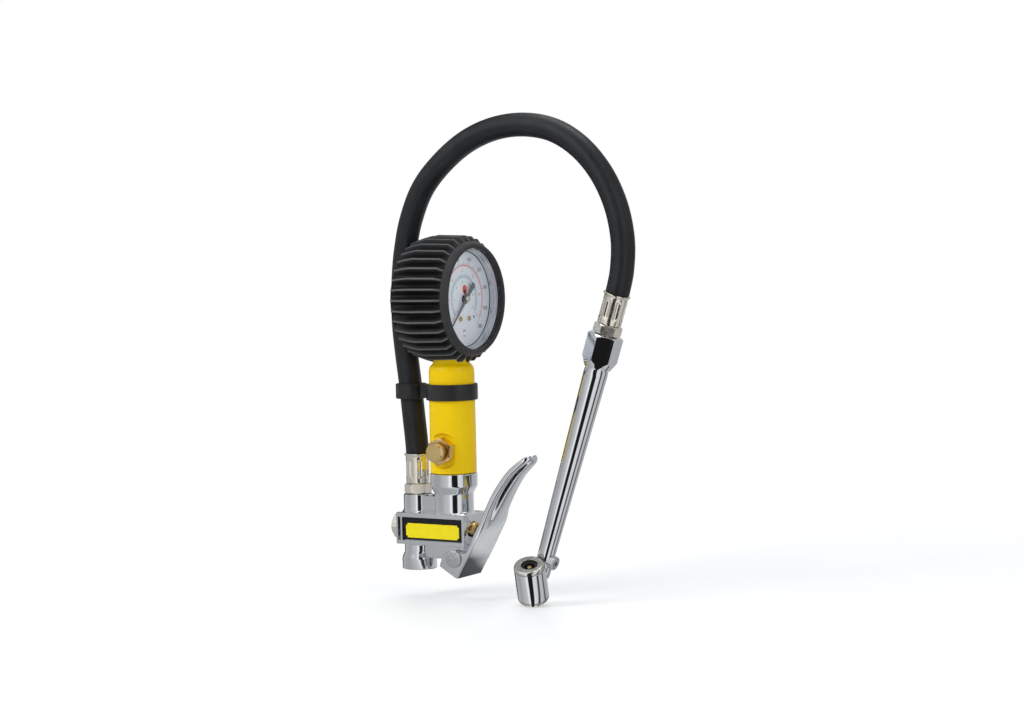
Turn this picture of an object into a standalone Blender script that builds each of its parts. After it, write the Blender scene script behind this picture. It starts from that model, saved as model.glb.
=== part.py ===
"""Hand-held tyre inflator.

A die-cast valve body carries a handle tube with a dial gauge on top, a squeeze lever at
the side, and a short hose that ends in a long chuck with two heads. Metres, +Z up. The
origin is the centre of the air inlet's end face, and +X points from there to the lever.
"""

import math

import bmesh
import bpy
from mathutils import Matrix, Vector

X_AXIS = Vector((1, 0, 0))
Y_AXIS = Vector((0, 1, 0))
Z_AXIS = Vector((0, 0, 1))
FULL_TURN = 2 * math.pi

FIT = 0.0003                  # gap that seated pieces keep
MILLIMETRE = 0.001

# ---------------------------------------------------------------- driving sizes

# Valve body: inlet and hose port share the column at X = 0, the handle stands beside it.
INLET_COLLAR_R = 0.0101
INLET_COLLAR_H = 0.0065
INLET_BORE_R = 0.0057         # tapping size of a quarter-inch pipe thread
INLET_BORE_DEPTH = 0.012
COLUMN_R = 0.0086
COLUMN_TOP = 0.0438
PORT_BORE_R = 0.0049
PORT_BORE_BOTTOM = 0.0352
BLOCK_X = (-0.0068, 0.0380)
BLOCK_HALF_Y = 0.0140
BLOCK_Z = (0.0158, 0.0338)
FRAME_END_X = 0.0402          # the label frame stands out past the block
FRAME_DEPTH = 0.0030
LABEL_X = (-0.0024, 0.0386)
LABEL_Z = (0.0180, 0.0315)
LABEL_RECESS = 0.0016
SLOT_X = (-0.0056, -0.0036)
VALVE_Z = 0.0245              # height of the cross bore
VALVE_BORE_R = 0.0050
SEAT_X = (0.0140, 0.0170)
SEAT_R = 0.0032
PLUG_SPOT_R = 0.0078          # flat cast face under the plug's washer
GLAND_BORE_R = 0.0049
INLET_WAY_R = 0.0030
RISER_R = 0.0040              # way up to the handle
CROSSING_R = 0.0020           # way from the handle to the hose
VALVE_STEM_R = 0.0020
VALVE_SPRING_X = (-0.0007, 0.0100)
PLUG_AF = 0.0134
PLUG_HEX = 0.0070
WASHER_R = (0.0050, 0.0064)
WASHER_T = 0.0008
HANDLE_X = 0.0250
HANDLE_COLUMN_R = 0.01135
HANDLE_COLUMN_Z = (0.0260, 0.0453)
BRIDGE = ((0.0040, -0.0058, 0.0300), (0.0180, 0.0058, 0.0432))
KEEL_HALF_Y = 0.0046
KEEL_Z = (0.0068, 0.0180)
COLLAR_R = 0.01375
COLLAR_Z = (0.0495, 0.0569)
SOCKET_R = 0.0106
SOCKET_FLOOR = 0.0500

# Handle tube
BARREL_R = 0.0134
BARREL_TOP_R = 0.0132
BARREL_BOTTOM = 0.0572
BARREL_SHOULDER = 0.1162
BARREL_TOP = 0.1200
BARREL_BORE_R = 0.0090
BARREL_CROWN_R = 0.0114       # flat top inside the rounded shoulder
BARREL_RING_Z = (0.0530, 0.0548)
BARREL_RING_DEPTH = 0.0010
GAUGE_THREAD_R = 0.0052
GAUGE_THREAD_END = 0.1110     # lower end of the gauge's thread in the handle

# Air-release valve, near the -Y side of the handle; depths are from the handle's axis
RELEASE_Z = 0.0706
RELEASE_AXIS = Vector((math.sin(math.radians(5)), -math.cos(math.radians(5)), 0))
SPOT_FACE_R = 0.0100
SPOT_FACE_AT = 0.0114
RELEASE_NUT_AF = 0.0140
RELEASE_NUT_FACE = 0.0182
RELEASE_BUTTON_FACE = 0.0238
RELEASE_BUTTON_R = 0.0056
RELEASE_HEAD = 0.0031         # thickness of the button's head
RELEASE_SHANK_R = 0.0053
RELEASE_SPRING = (0.0083, 0.0152)

# Lever: pivot, travel and its side profile
PIN_X, PIN_Z = 0.0327, 0.0087
PIN_R = 0.0025
PIN_HEAD_R, PIN_HEAD_T = 0.0050, 0.0011
PIN_CLIP_R, PIN_CLIP_T = 0.0042, 0.0008
PIN_GROOVE_R = 0.0019
LEVER_HALF_WIDTH = 0.0136
LEVER_WALL = 0.0020
LUG_HALF_Y = 0.0112
LUG_R = 0.0046
# Along the web's outer face, heel to tip: x, z, half width, flange depth, rib height
LEVER_STATIONS = (
    (0.0343, -0.0027, 0.0136, 0.0138, 0.0000),
    (0.0386, 0.0046, 0.0136, 0.0143, 0.0000),
    (0.0410, 0.0088, 0.0136, 0.0072, 0.0000),
    (0.0428, 0.0118, 0.0136, 0.0027, 0.0000),
    (0.0486, 0.0215, 0.0134, 0.0032, 0.0004),
    (0.0532, 0.0295, 0.0126, 0.0034, 0.0020),
    (0.0566, 0.0380, 0.0112, 0.0036, 0.0032),
    (0.0616, 0.0477, 0.0098, 0.0036, 0.0036),
    (0.0686, 0.0574, 0.0084, 0.0034, 0.0032),
    (0.0746, 0.0630, 0.0070, 0.0032, 0.0026),
    (0.0786, 0.0663, 0.0050, 0.0030, 0.0018),
    (0.0804, 0.0676, 0.0030, 0.0026, 0.0010),
)

# Clip that holds the hose beside the handle
CLIP_Z = (0.0993, 0.1086)
CLIP_HOSE_X = -0.0033
CLIP_HOSE_LEAN = Vector((-0.0018, 0, 0.0172))   # the hose's direction at the clip
CLIP_BAND_R = 0.0150
CLIP_LOOP_R = 0.0091
CLIP_WEB_HALF_Y = 0.0034

# Gauge, axis along X above the handle
GAUGE_Z = 0.1575
CASE_R = 0.0295
CASE_WALL = 0.0010
CASE_X = (0.0078, 0.0394)
DIAL_R = 0.0274
DIAL_X = (0.0338, 0.0346)
DIAL_HOLE_R = 0.0022
DIAL_SCREW_R = 0.0015
DIAL_SCREW_Y = 0.0044
DIAL_SCREW_DROP = 0.0114
VENT_R = 0.0040               # hole in the case's back
LENS_CROWN = 0.0010
LENS_R = 0.0293
LENS_X = (0.0397, 0.0412)
WINDOW_R = 0.0285
BOOT_R = 0.0298               # inside
BOOT_BACK_X = 0.0054
BOOT_BACK_R = 0.0325
BOOT_BACK_OPENING_R = 0.0220
BOOT_LIP_R = 0.0312
BOOT_FRONT_X = 0.0434
RIB_COUNT = 36
RIB_TOP_WIDTH = 0.0010
VALLEY_R = 0.0318
RIB_END_X, RIB_END_R = 0.0398, 0.0331
# Each rib's crest, back to front: x, radius
RIB_CREST = ((0.0066, 0.0342), (0.0180, 0.0370), (0.0366, 0.0364))

GAUGE_STEM_R = 0.0070         # between the handle and the case

# Gauge works
TUBE_R = 0.0210
TUBE_THICK = 0.0024
TUBE_X = (0.0128, 0.0198)
TUBE_START_ANGLE, TUBE_TIP_ANGLE = math.radians(-107.5), math.radians(-42)
GEAR_MODULE = 0.0004
PINION_TEETH = 10
SECTOR_RATIO = 7              # turns of the pinion for one of the sector
SECTOR_PIVOT = GEAR_MODULE * PINION_TEETH * (1 + SECTOR_RATIO) / 2   # below the hub
SECTOR_ARC_TEETH = 11
SECTOR_LINK_R = 0.0065
GEAR_X = 0.0238
SHAFT_X = (0.0204, 0.0376)
LINK_X = 0.0226
PLATE_X = (0.0212, 0.0268)
PLATE_T = 0.0009
PLATE_LOW, PLATE_HALF_LOW, PLATE_HALF_HIGH = -0.0252, 0.0066, 0.0042
AXLE_R = 0.0008
POINTER_X = 0.0364
POINTER_REACH = 0.0216
POINTER_SWEEP = math.radians(270)
POINTER_ZERO = math.radians(225)   # from +Y towards +Z, seen from the front

# Hose
HOSE_R = 0.00675
HOSE_CRIMPED_R = 0.0056
FERRULE_R = 0.0068
FERRULE_RIM_R = 0.0077
FERRULE_BORE_R = 0.00595
FERRULE_LENGTH = 0.0174
FERRULE_FLUTES = 8
FLUTE_DEPTH = 0.00055
NIPPLE_AF = 0.0140
NIPPLE_HEX = 0.0057
NIPPLE_NECK_R = 0.0036
NIPPLE_BORE_R = 0.0022
NIPPLE_THREAD = 0.0060
HOSE_CRIMP_DEPTH = 0.0150     # length of hose held in each ferrule

# Chuck: its frame sits on the upper ferrule's rim, local +Z pointing up the wand
CHUCK_TOP = Vector((0.1349, 0.0, 0.1600))
CHUCK_TILT = math.radians(18.2)
CHUCK_HEX_AF = 0.0175
CHUCK_HEX = (-0.0237, -0.0400)
WAND_TOP, WAND_TOP_R = -0.0440, 0.0069
WAND_END, WAND_END_R = -0.1670, 0.0050
BOSS_AT = -0.1580
BOSS_R = 0.0041
BOSS_REACH = 0.0072
WAND_BORE_R = 0.0020
DRILL_R = 0.0016
CHUCK_PLUG_R, CHUCK_PLUG_END = 0.0028, 0.0033
PLUG_KEY_R = 0.0015
HEAD_CENTRE = Vector((0.0792, -0.0051, -0.0025))
HEAD_AXIS = Vector((0.150, -0.440, 0.885)).normalized()
HEAD_R = 0.00895
HEAD_HALF = 0.0120
CAP_FLANGE = 0.0020
CAP_HOLE_R = 0.0047
HEAD_BORE_R = 0.0066

# The hose's centre line between the two ferrules, in the plane Y = 0: x, z
HOSE_ROUTE = (
    (-0.0005, 0.0760),
    (-0.0023, 0.0930),
    (-0.0041, 0.1102),
    (-0.0062, 0.1265),
    (-0.0078, 0.1423),
    (-0.0080, 0.1570),
    (-0.0072, 0.1715),
    (-0.0052, 0.1861),
    (-0.0010, 0.2030),
    (0.0073, 0.2206),
    (0.0202, 0.2346),
    (0.0376, 0.2468),
    (0.0570, 0.2538),
    (0.0771, 0.2553),
    (0.0965, 0.2513),
    (0.1130, 0.2413),
    (0.1262, 0.2265),
    (0.1350, 0.2087),
    (0.1389, 0.1900),
    (0.1382, 0.1735),
)

# ---------------------------------------------------------------- scene and materials

for leftover in list(bpy.data.objects):
    bpy.data.objects.remove(leftover, do_unlink=True)

PARTS = bpy.data.collections.new("tyre_inflator")
TOOLS = bpy.data.collections.new("construction")
bpy.context.scene.collection.children.link(PARTS)
bpy.context.scene.collection.children.link(TOOLS)


def material(name, colour, roughness, metallic=0.0, alpha=1.0):
    """A Principled material with one colour."""
    mat = bpy.data.materials.new(name)
    mat.use_nodes = True
    shader = mat.node_tree.nodes["Principled BSDF"]
    shader.inputs["Base Color"].default_value = (*colour, 1.0)
    shader.inputs["Roughness"].default_value = roughness
    shader.inputs["Metallic"].default_value = metallic
    shader.inputs["Alpha"].default_value = alpha
    return mat


CHROME = material("chrome", (0.78, 0.79, 0.80), 0.10, 1.0)
STEEL = material("zinc_steel", (0.62, 0.62, 0.60), 0.30, 1.0)
NICKEL = material("nickel", (0.72, 0.68, 0.58), 0.22, 1.0)
BRASS = material("brass", (0.78, 0.57, 0.25), 0.25, 1.0)
YELLOW = material("yellow_enamel", (0.93, 0.68, 0.01), 0.30)
RUBBER = material("black_rubber", (0.02, 0.02, 0.022), 0.60)
BLACK_PLASTIC = material("black_plastic", (0.03, 0.03, 0.03), 0.45)
WHITE_DIAL = material("white_dial", (0.85, 0.86, 0.87), 0.50)
GREY_POINTER = material("grey_pointer", (0.12, 0.12, 0.13), 0.40)
CLEAR = material("clear_lens", (0.95, 0.97, 0.98), 0.05, 0.0, 0.25)
LABEL = material("label_print", (0.05, 0.05, 0.05), 0.35)


# ---------------------------------------------------------------- modelling helpers

def sides_for(radius):
    """Sides of a round form, so that small and large ones are equally true."""
    return 4 * max(2, round(1.8 * math.sqrt(radius / MILLIMETRE)))


def add_object(name, data, frame=None):
    """Put new data in the scene as construction; finish() later makes it a part."""
    obj = bpy.data.objects.new(name, data)
    TOOLS.objects.link(obj)
    obj.display_type = "WIRE"
    obj.hide_render = True
    obj.parent = frame
    return obj


def finish(obj, mat):
    """Turn a construction object into a part of the inflator."""
    TOOLS.objects.unlink(obj)
    PARTS.objects.link(obj)
    obj.display_type = "TEXTURED"
    obj.hide_render = False
    obj.data.materials.clear()
    obj.data.materials.append(mat)
    return obj


def aim(obj, place, direction):
    """Stand the object's local Z on a direction, with its origin at a place."""
    turn = Z_AXIS.rotation_difference(Vector(direction)).to_matrix().to_4x4()
    obj.matrix_local = Matrix.Translation(place) @ turn
    return obj


def mesh_from(name, bm, frame=None):
    """A mesh object from a bmesh, smooth with sharp edges kept."""
    bmesh.ops.recalc_face_normals(bm, faces=bm.faces)
    mesh = bpy.data.meshes.new(name)
    bm.to_mesh(mesh)
    bm.free()
    mesh.shade_smooth()
    mesh.set_sharp_from_angle(angle=math.radians(35))
    return add_object(name, mesh, frame)


def turned(name, profile, frame=None, steps=None):
    """A solid of revolution about Z. The (r, z) profile runs down its outer side; it
    starts and ends on the axis, or is a closed loop where the solid is a ring."""
    bm = bmesh.new()
    verts = [bm.verts.new((r, 0, z)) for r, z in profile]
    for a, b in zip(verts, verts[1:]):
        bm.edges.new((a, b))
    if profile[0][0] > 0:
        bm.edges.new((verts[-1], verts[0]))
    mesh = bpy.data.meshes.new(name)
    bm.to_mesh(mesh)
    bm.free()
    obj = add_object(name, mesh, frame)
    screw = obj.modifiers.new("turn", "SCREW")
    screw.axis = "Z"
    screw.angle = FULL_TURN
    sides = steps or sides_for(max(r for r, z in profile))
    screw.steps = screw.render_steps = sides
    screw.use_merge_vertices = True
    screw.merge_threshold = 0.00001
    return obj


def cylinder(name, radius, low, high, frame=None, sides=None):
    """A cylinder along Z between two heights."""
    bm = bmesh.new()
    bmesh.ops.create_cone(bm, cap_ends=True, segments=sides or sides_for(radius),
                          radius1=radius, radius2=radius, depth=high - low,
                          matrix=Matrix.Translation((0, 0, (low + high) / 2)))
    return mesh_from(name, bm, frame)


def box(name, low, high, bevel=0.0, frame=None):
    """A box between two corners, its edges rounded by the bevel."""
    low, high = Vector(low), Vector(high)
    bm = bmesh.new()
    bmesh.ops.create_cube(bm, size=1.0, matrix=Matrix.Translation((low + high) / 2)
                          @ Matrix.Diagonal((*(high - low), 1.0)))
    obj = mesh_from(name, bm, frame)
    if bevel:
        mod = obj.modifiers.new("edges", "BEVEL")
        mod.width = bevel
        mod.limit_method = "ANGLE"
    return obj


def plate(name, outline, thickness, frame=None):
    """A flat outline in local XY, thickened evenly about Z = 0, as a mesh."""
    curve = bpy.data.curves.new(name, "CURVE")
    curve.dimensions = "2D"
    curve.fill_mode = "BOTH"
    curve.extrude = thickness / 2
    spline = curve.splines.new("POLY")
    spline.points.add(len(outline) - 1)
    for point, (x, y) in zip(spline.points, outline):
        point.co = (x, y, 0, 1)
    spline.use_cyclic_u = True
    source = bpy.data.objects.new(name, curve)
    TOOLS.objects.link(source)
    graph = bpy.context.evaluated_depsgraph_get()
    mesh = bpy.data.meshes.new_from_object(source.evaluated_get(graph))
    bpy.data.objects.remove(source, do_unlink=True)
    bm = bmesh.new()
    bm.from_mesh(mesh)
    bpy.data.meshes.remove(mesh)
    bmesh.ops.remove_doubles(bm, verts=bm.verts, dist=0.000005)
    return mesh_from(name, bm, frame)


def loft(name, rings, closed=False, frame=None):
    """Skin successive rings of points; a closed loft joins its last ring to its first,
    and an open one has a cap on each end."""
    bm = bmesh.new()
    loops = [[bm.verts.new(p) for p in ring] for ring in rings]
    pairs = list(zip(loops, loops[1:]))
    if closed:
        pairs.append((loops[-1], loops[0]))
    for first, second in pairs:
        count = len(first)
        for i in range(count):
            j = (i + 1) % count
            bm.faces.new((first[i], first[j], second[j], second[i]))
    if not closed:
        bm.faces.new(loops[0])
        bm.faces.new(loops[-1])
    return mesh_from(name, bm, frame)


def tube(name, points, radius, sides_level=2, frame=None, radii=None):
    """A round rod along a line of points, with closed ends."""
    curve = bpy.data.curves.new(name, "CURVE")
    curve.dimensions = "3D"
    curve.bevel_depth = radius
    curve.bevel_resolution = sides_level
    curve.use_fill_caps = True
    spline = curve.splines.new("POLY")
    spline.points.add(len(points) - 1)
    for i, (point, place) in enumerate(zip(spline.points, points)):
        point.co = (*place, 1)
        point.radius = radii[i] if radii else 1.0
    return add_object(name, curve, frame)


def combine(obj, operation, others):
    for other in others:
        mod = obj.modifiers.new(other.name, "BOOLEAN")
        mod.operation = operation
        mod.object = other
        mod.solver = "EXACT"
    return obj


def join(obj, *others):
    return combine(obj, "UNION", others)


def cut(obj, *others):
    return combine(obj, "DIFFERENCE", others)


def hexagon(name, across_flats, low, high, chamfer_low, chamfer_high, frame=None):
    """A hexagon bar along Z whose corners are turned off at either end."""
    corner = across_flats / 2 / math.cos(math.radians(30))
    bar = cylinder(name, corner, low, high, frame, 6)
    inner = across_flats / 2 * 0.985
    outer = corner * 1.02
    rise = (outer - inner) * 0.6
    lip = (high - low) * 0.1
    top = [(inner, high), (outer, high - rise)] if chamfer_high else [(outer, high + lip)]
    bottom = [(outer, low + rise), (inner, low)] if chamfer_low else [(outer, low - lip)]
    profile = [(0, top[0][1]), *top, *bottom, (0, bottom[-1][1])]
    blank = turned(name + "_blank", profile, frame)
    combine(bar, "INTERSECT", [blank])
    return bar


def spring(name, radius, wire_r, low, high, turns, frame=None):
    """A compression spring along Z, seated between two heights."""
    per_turn = 8
    count = int(turns * per_turn) + 1
    run = high - low - 2 * wire_r
    points = []
    for i in range(count):
        angle = FULL_TURN * i / per_turn
        rise = low + wire_r + run * i / (count - 1)
        points.append((radius * math.cos(angle), radius * math.sin(angle), rise))
    return tube(name, points, wire_r, 1, frame)


def o_ring(name, centre, half):
    """A sealing ring about Z: the middle of its section, (r, z), and its half sizes."""
    sides = 6
    return turned(name, [
        (centre[0] + half[0] * math.cos(a), centre[1] - half[1] * math.sin(a))
        for a in (FULL_TURN * i / sides for i in range(sides))])


def smooth_through(knots, steps):
    """Catmull-Rom values through the knots, `steps` to each span; knots are tuples."""
    padded = [knots[0], *knots, knots[-1]]
    result = []
    for a, b, c, d in zip(padded, padded[1:], padded[2:], padded[3:]):
        for i in range(steps):
            t = i / steps
            result.append(tuple(
                0.5 * (2 * q + (r - p) * t + (2 * p - 5 * q + 4 * r - s) * t * t
                       + (3 * q - p - 3 * r + s) * t ** 3)
                for p, q, r, s in zip(a, b, c, d)))
    result.append(tuple(knots[-1]))
    return result


def ring_yz(x, radii_angles, centre_z=0.0):
    """Points of a ring in the plane X = x, from (radius, angle) pairs."""
    return [(x, r * math.cos(a), centre_z + r * math.sin(a)) for r, a in radii_angles]


# ---------------------------------------------------------------- valve body

def build_valve_body():
    body = box("valve_body", (BLOCK_X[0], -BLOCK_HALF_Y + 0.0006, BLOCK_Z[0]),
               (BLOCK_X[1], BLOCK_HALF_Y, BLOCK_Z[1]), 0.0008)
    label_frame = box("label_frame", (BLOCK_X[0], -BLOCK_HALF_Y, BLOCK_Z[0] - 0.0002),
                      (FRAME_END_X, -BLOCK_HALF_Y + FRAME_DEPTH, BLOCK_Z[1] + 0.0002),
                      0.0004)
    inlet = turned("inlet_column", [
        (0, COLUMN_TOP), (COLUMN_R - 0.0005, COLUMN_TOP), (COLUMN_R, COLUMN_TOP - 0.0005),
        (COLUMN_R, INLET_COLLAR_H + 0.0027),
        (INLET_COLLAR_R - 0.0003, INLET_COLLAR_H + 0.0006),
        (INLET_COLLAR_R, INLET_COLLAR_H), (INLET_COLLAR_R, 0.0006),
        (INLET_COLLAR_R - 0.0006, 0), (0, 0)])
    handle = turned("handle_column", [
        (0, COLLAR_Z[1]), (COLLAR_R - 0.0004, COLLAR_Z[1]),
        (COLLAR_R, COLLAR_Z[1] - 0.0004), (COLLAR_R, COLLAR_Z[0]),
        (HANDLE_COLUMN_R, HANDLE_COLUMN_Z[1]), (HANDLE_COLUMN_R, HANDLE_COLUMN_Z[0]),
        (0, HANDLE_COLUMN_Z[0])])
    handle.location.x = HANDLE_X
    bridge = box("column_bridge", *BRIDGE)
    lug = cylinder("lever_lug", LUG_R, -LUG_HALF_Y, LUG_HALF_Y)
    aim(lug, (PIN_X, 0, PIN_Z), Y_AXIS)
    lug_root = box("lug_root", (PIN_X - LUG_R, -LUG_HALF_Y + 0.0004, PIN_Z),
                   (PIN_X + LUG_R - 0.0002, LUG_HALF_Y - 0.0004, BLOCK_Z[0] + 0.002))
    keel = box("keel", (0.0050, -KEEL_HALF_Y, KEEL_Z[0]), (PIN_X - 0.002, KEEL_HALF_Y, KEEL_Z[1]))
    join(body, label_frame, inlet, handle, bridge, lug_root, lug, keel)

    reach = 0.0010
    label_pocket = box("label_pocket", (LABEL_X[0], -BLOCK_HALF_Y - reach, LABEL_Z[0]),
                       (LABEL_X[1], -BLOCK_HALF_Y + LABEL_RECESS, LABEL_Z[1]))
    slot = box("slot_pocket", (SLOT_X[0], -BLOCK_HALF_Y - reach, LABEL_Z[0]),
               (SLOT_X[1], -BLOCK_HALF_Y + LABEL_RECESS, LABEL_Z[1]))
    inlet_bore = cylinder("inlet_bore", INLET_BORE_R, -reach, INLET_BORE_DEPTH)
    inlet_way = cylinder("inlet_way", INLET_WAY_R, INLET_BORE_DEPTH - reach, VALVE_Z)
    port = cylinder("hose_port", PORT_BORE_R, PORT_BORE_BOTTOM, COLUMN_TOP + reach)
    valve_bore = cylinder("valve_bore", VALVE_BORE_R, BLOCK_X[0] - reach, SEAT_X[0])
    seat = cylinder("valve_seat", SEAT_R, SEAT_X[0] - reach, SEAT_X[1] + reach)
    gland_bore = cylinder("gland_bore", GLAND_BORE_R, SEAT_X[1], BLOCK_X[1] + reach)
    for bore in (valve_bore, seat, gland_bore):
        aim(bore, (0, 0, VALVE_Z), X_AXIS)
    riser = cylinder("riser", RISER_R, VALVE_Z, SOCKET_FLOOR + reach)
    riser.location.x = HANDLE_X
    socket = cylinder("handle_socket", SOCKET_R, SOCKET_FLOOR, COLLAR_Z[1] + reach)
    socket.location.x = HANDLE_X
    spot_face = cylinder("plug_spot_face", PLUG_SPOT_R, BLOCK_X[0] - 0.004, BLOCK_X[0])
    aim(spot_face, (0, 0, VALVE_Z), X_AXIS)
    crossing = cylinder("crossing", CROSSING_R, 0, HANDLE_X)
    aim(crossing, (0, 0, PORT_BORE_BOTTOM + 0.0024), X_AXIS)
    pin_hole = cylinder("lug_pin_hole", PIN_R + FIT, -BLOCK_HALF_Y, BLOCK_HALF_Y)
    aim(pin_hole, (PIN_X, 0, PIN_Z), Y_AXIS)
    cut(body, spot_face, label_pocket, slot, inlet_bore, inlet_way, port, valve_bore, seat,
        gland_bore, riser, socket, crossing, pin_hole)
    finish(body, CHROME)

    plate_y = -BLOCK_HALF_Y + LABEL_RECESS - FIT
    label = box("label_plate", (LABEL_X[0] + FIT, plate_y - 0.0005, LABEL_Z[0] + FIT),
                (LABEL_X[1] - FIT, plate_y, LABEL_Z[1] - FIT))
    finish(label, LABEL)


# ---------------------------------------------------------------- valve in the cross bore

def build_valve():
    """All of these are made along Z and laid on the cross bore, Z becoming +X."""
    face = BLOCK_X[0]
    washer_in, washer_out = face - FIT, face - FIT - WASHER_T
    washer = turned("plug_washer", [(WASHER_R[1], washer_in), (WASHER_R[1], washer_out),
                                    (WASHER_R[0], washer_out), (WASHER_R[0], washer_in)])
    head_in = washer_out - FIT
    plug = hexagon("valve_plug", PLUG_AF, head_in - PLUG_HEX, head_in, True, False)
    shank = cylinder("plug_shank", VALVE_BORE_R - FIT, head_in - 0.001,
                     VALVE_SPRING_X[0] - FIT)
    join(plug, shank)

    stem_r, button_r, piston_r = VALVE_STEM_R, 0.0029, 0.0042
    button, piston = (0.0448, 0.0455), (0.0103, 0.0118)
    tip = 0.0085
    stem = turned("valve_stem", [
        (0, button[1] + 0.0015), (0.0011, button[1] + 0.0014), (0.0022, button[1] + 0.0009),
        (button_r, button[1]), (button_r, button[0]), (stem_r, button[0]),
        (stem_r, piston[1]), (piston_r, piston[1]), (piston_r, piston[0]),
        (stem_r, piston[0]), (stem_r, tip), (0, tip)])
    seal_in, seal_r = stem_r + FIT, 0.0043
    seal_x = (piston[1] + FIT, SEAT_X[0] - FIT)
    seal = turned("valve_seal", [
        (seal_r - 0.0002, seal_x[1]), (seal_r, seal_x[1] - 0.0003), (seal_r, seal_x[0]),
        (seal_in, seal_x[0]), (seal_in, seal_x[1])])
    coil = spring("valve_spring", 0.0033, 0.0004, *VALVE_SPRING_X, 5.5)
    gland_r = GLAND_BORE_R - FIT
    gland_x, ring_room = (0.0290, 0.0404), (0.0034, 0.0330)
    gland = turned("valve_gland", [
        (gland_r - 0.0002, gland_x[1]), (gland_r, gland_x[1] - 0.0003), (gland_r, gland_x[0]),
        (ring_room[0], gland_x[0]), ring_room, (stem_r + FIT, ring_room[1]),
        (stem_r + FIT, gland_x[1])])
    ring = o_ring("stem_ring", (0.0027, (gland_x[0] + ring_room[1]) / 2), (0.0004, 0.0005))
    for obj in (washer, plug, shank, bpy.data.objects["valve_plug_blank"], stem, seal,
                coil, gland, ring):
        aim(obj, (0, 0, VALVE_Z), X_AXIS)
    finish(washer, STEEL)
    finish(plug, NICKEL)
    finish(stem, BRASS)
    finish(seal, RUBBER)
    finish(coil, STEEL)
    finish(gland, BRASS)
    finish(ring, RUBBER)


# ---------------------------------------------------------------- lever and its pin

def lever_section(x, z, half, depth, rib, along):
    """One closed section of the lever, in the plane square to its side line. The web is
    on the outer side, the flanges reach back towards the handle."""
    normal = Vector((along.z, 0, -along.x))
    edge = min(0.0009, half * 0.3)
    wall = min(LEVER_WALL, half * 0.6)
    web = min(LEVER_WALL, depth * 0.7)
    foot = half * 0.74
    outline = [
        (-half, -depth), (-half, -edge), (-half + edge, 0), (-foot, 0),
        (-foot * 0.74, rib * 0.72), (-foot * 0.38, rib), (foot * 0.38, rib),
        (foot * 0.74, rib * 0.72), (foot, 0), (half - edge, 0), (half, -edge),
        (half, -depth), (half - wall, -depth), (half - wall, -web),
        (-half + wall, -web), (-half + wall, -depth)]
    centre = Vector((x - PIN_X, 0, z - PIN_Z))
    return [centre + Y_AXIS * y + normal * out for y, out in outline]


def build_lever():
    stations = smooth_through(LEVER_STATIONS, 2)
    rings = []
    for i, (x, z, half, depth, rib) in enumerate(stations):
        before = stations[max(i - 1, 0)]
        after = stations[min(i + 1, len(stations) - 1)]
        along = Vector((after[0] - before[0], 0, after[1] - before[1])).normalized()
        rings.append(lever_section(x, z, half, depth, max(rib, 0.0), along))
    lever = loft("lever", rings)
    lever.location = (PIN_X, 0, PIN_Z)
    hole = cylinder("lever_pin_hole", PIN_R + FIT, -0.02, 0.02)
    aim(hole, (PIN_X, 0, PIN_Z), Y_AXIS)
    cut(lever, hole)
    finish(lever, CHROME)

    # The pin is made along Z, its head up, and laid with the head on the -Y side.
    head = LEVER_HALF_WIDTH + FIT
    top = head + PIN_HEAD_T
    tail = -LEVER_HALF_WIDTH - 0.0022
    groove = (-LEVER_HALF_WIDTH - 0.0004, -LEVER_HALF_WIDTH - 0.0014)
    pin = turned("lever_pin", [
        (0, top), (PIN_HEAD_R - 0.0006, top), (PIN_HEAD_R, top - 0.0005),
        (PIN_HEAD_R, head), (PIN_R, head), (PIN_R, groove[0]), (PIN_GROOVE_R, groove[0]),
        (PIN_GROOVE_R, groove[1]), (PIN_R, groove[1]), (PIN_R, tail + 0.0003),
        (PIN_R - 0.0003, tail), (0, tail)])
    clip_low = groove[1] + 0.0001
    clip_high = clip_low + PIN_CLIP_T
    inner = PIN_GROOVE_R + FIT
    clip = turned("pin_clip", [(PIN_CLIP_R, clip_high), (PIN_CLIP_R, clip_low),
                               (inner, clip_low), (inner, clip_high)])
    gap_half, beyond = 0.0014, 0.001
    gap = box("clip_gap", (0.0, -gap_half, clip_low - beyond),
              (PIN_CLIP_R + beyond, gap_half, clip_high + beyond))
    cut(clip, gap)
    for obj in (pin, clip, gap):
        aim(obj, (PIN_X, 0, PIN_Z), -Y_AXIS)
    finish(pin, STEEL)
    finish(clip, STEEL)


# ---------------------------------------------------------------- handle

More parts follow.
